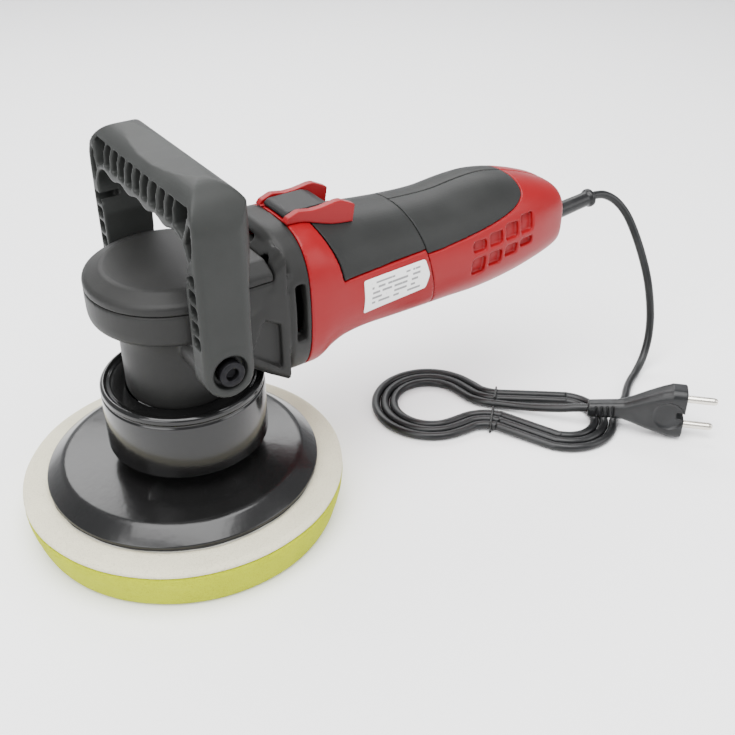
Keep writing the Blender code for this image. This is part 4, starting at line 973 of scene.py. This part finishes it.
front_grip = soft_shell("barrel_grip", 62.0, 156.0, front_region(0.0))
keep(front_grip, side_view("front", side_of_split(30.0, -GAP / 2)))
cut(front_grip, block("stem_slot", (70.0, -3.6, 140.0), (90.5, 3.6, 180.0)))
fit(moulded(front_grip, 0.5, 3), "machine", "soft_grip", soft_rubber, "motor_grip")


# ---------------------------------------- rating label
# A thin white plastic label, stuck to the right flank of the motor housing and printed
# with rows of plain grey bars.

paper = Finish("label_print", roughness=0.4)
across, up = paper.along(0), paper.along(2)
row = up * 330.0
row_share = paper.node("ShaderNodeMath", {"operation": "FRACT"}, {0: row})
row_number = paper.node("ShaderNodeMath", {"operation": "FLOOR"}, {0: row})
row_place = paper.node("ShaderNodeCombineXYZ", {}, {0: across * 260.0, 1: row_number * 7.3})
words = paper.step(paper.noise(1.0, 1.0, row_place), 0.44, 0.48)
inside = (paper.step(across, 0.099, 0.0994) * (1.0 - paper.step(across, 0.1325, 0.1329))
          * paper.step(up, 0.1145, 0.1149) * (1.0 - paper.step(up, 0.1282, 0.1286)))
bars = words * inside * (1.0 - paper.step(row_share, 0.42, 0.5))
paper.dress(paper.tint(bars * 0.9, (0.72, 0.72, 0.71), (0.12, 0.12, 0.125)),
            0.34 + paper.noise(400.0) * 0.12, paper.noise(600.0), 0.01)
label = skin("flank_label", 90.0, 145.0, -0.45, 40, 160)
cut(label, skin("inner", 88.0, 147.0, -GAP * 0.6, 40, 160))
# the outline starts in the middle of its front edge, so that every corner is rounded
label_edge = softened(((94.5, 120.0), (94.3, 110.5), (137.0, 113.0), (139.6, 121.0), (136.5, 131.0),
                       (94.0, 131.0), (94.5, 120.0)), 1.4, 4)
keep(label, prism("label_edge", label_edge[:-1], -60.0, -10.0, "Y"))
fit(label, "machine", "label", paper, "rating_label")
crisp(label, 40.0)


# ---------------------------------------- rear housing
# Two red half shells that close round the controls, each with two rows of air inlets and
# a soft black skin over its top; the left one is slotted for the speed wheel.

DIAL = (232.0, 18.6, 121.0)
DIAL_R = 11.0
DIAL_SLOT_HALF = 3.35               # half the slot's height
INLET_PITCH = 12.4
# For each row, the lower and upper edge of the first inlet and then of its slit, each with
# its change from one inlet to the next.
INLET_ROWS = (((123.8, 0.6), (130.4, 2.2), (125.2, 0.6), (129.0, 2.2)),
              ((109.2, 2.6), (119.8, 0.8), (112.6, 1.8), (118.2, 0.8)))


def inlet(name, k, row):
    """The k-th inlet of a row, right through the flank."""
    low, high = (first + change * k for first, change in INLET_ROWS[row][:2])
    outline = rounded_box(5.0, (high - low) / 2, 1.5, 4, 177.0 + INLET_PITCH * k, (high + low) / 2)
    return prism(name, outline, 14.0, 45.0, "Y")


def slit(name, k, row):
    """The narrow opening at the front of an inlet's floor, where the air goes in."""
    low, high = (first + change * k for first, change in INLET_ROWS[row][2:])
    front = 172.9 + INLET_PITCH * k
    return block(name, (front, 10.0, low), (front + 1.4, 45.0, high))


for name, side in (("left", 1), ("right", -1)):
    half = skin("rear_shell_" + name, 124.0, 252.0, 0.0, 64)
    hollow = skin("hollow", 120.0, 247.0, WALL + GRIP_DEPTH)
    if side > 0:
        cut(hollow, *[block("rib", (DIAL[0] - 4.5, DIAL[1] - 5.0, DIAL[2] + low),
                            (DIAL[0] + 4.5, 40.0, DIAL[2] + low + 3.2)) for low in (-6.6, 3.4)])
    cut(half, hollow, rail_channel())
    keep(half, side_view("rear", side_of_split(300.0, GAP / 2)), half_space(side))
    places = [(k, row) for k in range(4) for row in (0, 1)]
    inlets = [sided("inlet", side, lambda given: inlet(given, k, row)) for k, row in places]
    recess = inlets.pop()
    merge(recess, *inlets)
    cut(recess, skin("floor", 160.0, 240.0, 2.8))
    cut(half, seat(122.0, 240.0, rear_region(0.6)), recess,
        *[sided("slit", side, lambda given: slit(given, k, row)) for k, row in places],
        along_relief(rod("tail_bore", 6.6, -8.0, 20.0, axis="X")))
    if side > 0:
        cut(half, block("dial_slot", (DIAL[0] - DIAL_R - 0.5, 16.0, DIAL[2] - DIAL_SLOT_HALF),
                        (DIAL[0] + DIAL_R + 0.5, 45.0, DIAL[2] + DIAL_SLOT_HALF)),
            rod("axle_bore", 2.2, DIAL[2] - 5.7, DIAL[2] + 5.7, DIAL[:2], "Z"))
    fit(moulded(half, 0.7, 2), "machine", "red_shell", red_nylon, "rear_housing_" + name)

    grip = soft_shell("tail_grip_" + name, 122.0, 240.0, rear_region(0.0))
    keep(grip, side_view("rear", side_of_split(300.0, GAP / 2)), half_space(side))
    fit(moulded(grip, 0.5, 3), "machine", "soft_grip", soft_rubber, "rear_grip_" + name)


# ---------------------------------------- switch and its frame
# A black slide button in a red frame whose two wings reach back over the grip; its rail
# runs under the roof to the switch.

WELL_HALF = 11.8                    # half the room between the wings
BUTTON_HALF = 11.1

switch_plastic = cast_paint("switch_plastic", (0.010, 0.010, 0.010), 0.03)
button_side = softened(((61.0, 166.6), (61.0, 167.8), (63.5, 169.7), (84.0, 169.7), (88.5, 168.0),
                        (88.5, 166.6)), 1.2)
button = prism("slide_button", button_side, -BUTTON_HALF, BUTTON_HALF, "Y")
merge(button, block("stem", (80.5, -2.6, RAIL_UNDER), (84.5, 2.6, 167.0)),
      block("rail", (80.5, -2.8, RAIL_UNDER), (164.0, 2.8, RAIL_TOP)),
      block("foot", (161.0, -2.8, 146.0), (164.0, 2.8, RAIL_TOP)))
fit(moulded(button, 0.36, 1), "switch", "switch_plastic", switch_plastic, "switch_slider")

frame_side = softened(((58.7, 166.4), (60.5, 168.6), (67.0, 170.9), (75.0, 169.5), (81.0, 169.7),
                       (90.0, 171.0), (93.0, 170.8), (101.4, 166.6), (99.0, 152.0), (66.0, 152.0)), 0.8, 3)
switch_frame = prism("switch_frame", frame_side, -16.0, 16.0, "Y")
cut(switch_frame, block("well", (50.0, -WELL_HALF, 166.2), (120.0, WELL_HALF, 180.0)),
    block("notch", (88.9, -WELL_HALF, 150.0), (120.0, WELL_HALF, 180.0)),
    block("stem_slot", (73.5, -3.4, 140.0), (90.0, 3.4, 175.0)), skin("below", 56.0, 110.0, -GAP))
fit(moulded(switch_frame, 0.35, 1), "machine", "red_shell", red_nylon, "switch_bezel")


# ---------------------------------------- speed wheel
# A black moulded thumb wheel with a knurled edge, which turns on two short pegs and stands
# a little out of its slot in the left rear shell.

def ring_of(part, count, centre):
    """Copies of a small part set out evenly about a point by Geometry Nodes, as one plain mesh."""
    tree = bpy.data.node_groups.new("set_out_" + part.name, "GeometryNodeTree")
    for name, kind in (("Part", "Geometry"), ("Count", "Int"), ("Centre", "Vector"), ("Turn", "Vector"),
                       ("Material", "Material")):
        tree.interface.new_socket(name, in_out="INPUT", socket_type="NodeSocket" + kind)
    tree.interface.new_socket("Set out", in_out="OUTPUT", socket_type="NodeSocketGeometry")
    given, line, index, spin, copies, real, painted, out = [tree.nodes.new(kind) for kind in (
        "NodeGroupInput", "GeometryNodeMeshLine", "GeometryNodeInputIndex", "ShaderNodeVectorMath",
        "GeometryNodeInstanceOnPoints", "GeometryNodeRealizeInstances", "GeometryNodeSetMaterial",
        "NodeGroupOutput")]
    spin.operation = "SCALE"
    line.inputs["Offset"].default_value = (0.0, 0.0, 0.0)
    for source, output, target, socket in (
            (given, "Count", line, "Count"), (given, "Centre", line, "Start Location"),
            (given, "Turn", spin, 0), (index, 0, spin, "Scale"),
            (line, 0, copies, "Points"), (given, "Part", copies, "Instance"), (spin, 0, copies, "Rotation"),
            (copies, 0, real, 0), (real, 0, painted, "Geometry"), (given, "Material", painted, "Material"),
            (painted, 0, out, 0)):
        tree.links.new(source.outputs[output], target.inputs[socket])
    modifier = part.modifiers.new("set_out", "NODES")
    modifier.node_group = tree
    values = {"Count": count, "Centre": Vector(centre) * MM, "Turn": Vector((0.0, 0.0, 2 * math.pi / count)),
              "Material": part.data.materials[0]}
    for item in tree.interface.items_tree:
        if item.name in values:
            modifier[item.identifier] = values[item.name]
    return applied(part)


wheel_low, wheel_high = DIAL[2] - 3.0, DIAL[2] + 3.0
wheel = turned("thumb_wheel", softened(((0.0, wheel_low - 2.4), (1.9, wheel_low - 2.4), (1.9, wheel_low),
                                        (9.9, wheel_low), (10.4, wheel_low + 0.6), (10.4, wheel_high - 0.6),
                                        (9.9, wheel_high), (1.9, wheel_high), (1.9, wheel_high + 2.4),
                                        (0.0, wheel_high + 2.4)), 0.5), DIAL[:2], "Z", 96)
fit(wheel, "dial", "switch_plastic", switch_plastic, "speed_dial")
knurls = prism("wheel_knurls", rounded_box(0.55, 0.55, 0.4, 3, DIAL_R - 0.55, 0.0), -2.2, 2.2)
knurls.data.materials.append(switch_plastic.material)
ring_of(knurls, 36, DIAL)
fit(knurls, "dial", "switch_plastic", switch_plastic)


# ---------------------------------------- inside the casings
# The drive and controls, seen only with the casings off: turned and ground steel, wound
# copper, stacked laminations, brass, carbon, and the board.

def metal(name, dark, light, roughness):
    """Bare metal with fine turning lines and a faint oil film."""
    bare = Finish(name, roughness=roughness, metallic=1.0)
    lines = bare.noise(700.0, 3.0, bare.stretched(1.0, 1.0, 5.0))
    film = bare.noise(60.0)
    return bare.dress(bare.tint(film, dark, light), roughness - 0.06 + lines * 0.16, lines, 0.01)


laminations = Finish("stacked_sheet", roughness=0.5, metallic=1.0)
sheet_wave = laminations.node("ShaderNodeTexWave", {"bands_direction": "X"},
                              {0: laminations.place, 1: 320.0}, 1)
laminations.dress(laminations.tint(sheet_wave, (0.12, 0.12, 0.125), (0.32, 0.32, 0.33)),
                  0.4 + sheet_wave * 0.2, sheet_wave, 0.05)
green_board = Finish("board_lacquer", roughness=0.4)
tracks = green_board.step(green_board.cells(420.0, "DISTANCE_TO_EDGE"), 0.03, 0.08)
green_board.dress(green_board.tint(tracks, (0.10, 0.30, 0.13), (0.02, 0.15, 0.06)), 0.3 + tracks * 0.2,
                  tracks, 0.03)
INNER = (
    (zinc, ("spindle", "armature_shaft", "pad_screw", "pad_spindle")),
    (metal("bearing_steel", (0.42, 0.42, 0.44), (0.6, 0.6, 0.61), 0.25),
     ("lower_spindle_bearing", "upper_spindle_bearing", "pad_bearing", "front_armature_bearing",
      "rear_armature_bearing")),
    (metal("gear_steel", (0.12, 0.12, 0.125), (0.22, 0.22, 0.23), 0.4),
     ("crown_gear", "pinion_gear", "bearing_retainer", "counterweight", "eccentric_hub")),
    (laminations, ("stator_core",)),
    (metal("copper", (0.55, 0.22, 0.09), (0.78, 0.38, 0.2), 0.35),
     ("commutator", "field_coil_left", "field_coil_right", "armature_core")),
    (metal("brass", (0.6, 0.42, 0.16), (0.8, 0.62, 0.28), 0.35), ("brush_holder_left", "brush_holder_right")),
    (cast_paint("carbon", (0.02, 0.02, 0.021), 0.04), ("carbon_brush_left", "carbon_brush_right")),
    (cast_paint("inner_plastic", (0.035, 0.035, 0.036), 0.04),
     ("cooling_fan", "bearing_bracket", "switch_block")),
    (green_board, ("control_board",)),
)
for finish, nodes in INNER:
    for node_name in nodes:
        node = bpy.data.objects[node_name]
        node.data.materials.clear()
        node.data.materials.append(finish.material)


# ---------------------------------------- floor and light
# A pale seamless floor and sweep, a broad soft light overhead from the left, a weaker fill
# from the right and a strip behind for the rims.

sweep = [(-3.0, 0.0)] + [(1.6 + 0.8 * math.sin(math.radians(a)), 0.8 - 0.8 * math.cos(math.radians(a)))
                         for a in range(0, 91, 6)] + [(2.4, 3.2)]
floor = bpy.data.objects.new("studio_floor", bpy.data.meshes.new("studio_floor"))
floor.data.from_pydata([(x, y, z) for y, z in sweep for x in (-3.4, 3.4)], [],
                       [(2 * k, 2 * k + 1, 2 * k + 3, 2 * k + 2) for k in range(len(sweep) - 1)])
floor.data.shade_smooth()
bpy.context.scene.collection.objects.link(floor)
backdrop = Finish("backdrop", roughness=0.9)
backdrop.dress(backdrop.tint(backdrop.noise(0.4, 1.0), (0.90, 0.90, 0.90), (0.92, 0.92, 0.92)))
floor.data.materials.append(backdrop.material)


def area_light(name, place, target, width, height, watts):
    """A soft rectangular light that faces its target."""
    lamp = bpy.data.lights.new(name, "AREA")
    lamp.shape = "RECTANGLE"
    lamp.size, lamp.size_y, lamp.energy = width, height, watts
    holder = bpy.data.objects.new(name, lamp)
    holder.location = place
    holder.rotation_euler = (Vector(target) - Vector(place)).to_track_quat("-Z", "Y").to_euler()
    bpy.context.scene.collection.objects.link(holder)


tool_middle = (0.1, 0.0, 0.1)
area_light("overhead", (-0.1, -0.2, 1.3), tool_middle, 1.3, 1.1, 46.0)
area_light("left_window", (-1.1, -0.5, 0.8), tool_middle, 0.9, 0.9, 17.0)
area_light("right_fill", (0.9, -1.0, 0.7), tool_middle, 0.8, 0.8, 10.0)
area_light("rear_strip", (0.5, 0.9, 0.9), tool_middle, 1.4, 0.4, 14.0)
surroundings = bpy.data.worlds.new("studio")
surroundings.use_nodes = True
surroundings.node_tree.nodes["Background"].inputs["Color"].default_value = (0.95, 0.96, 1.0, 1.0)
surroundings.node_tree.nodes["Background"].inputs["Strength"].default_value = 0.75
bpy.context.scene.world = surroundings
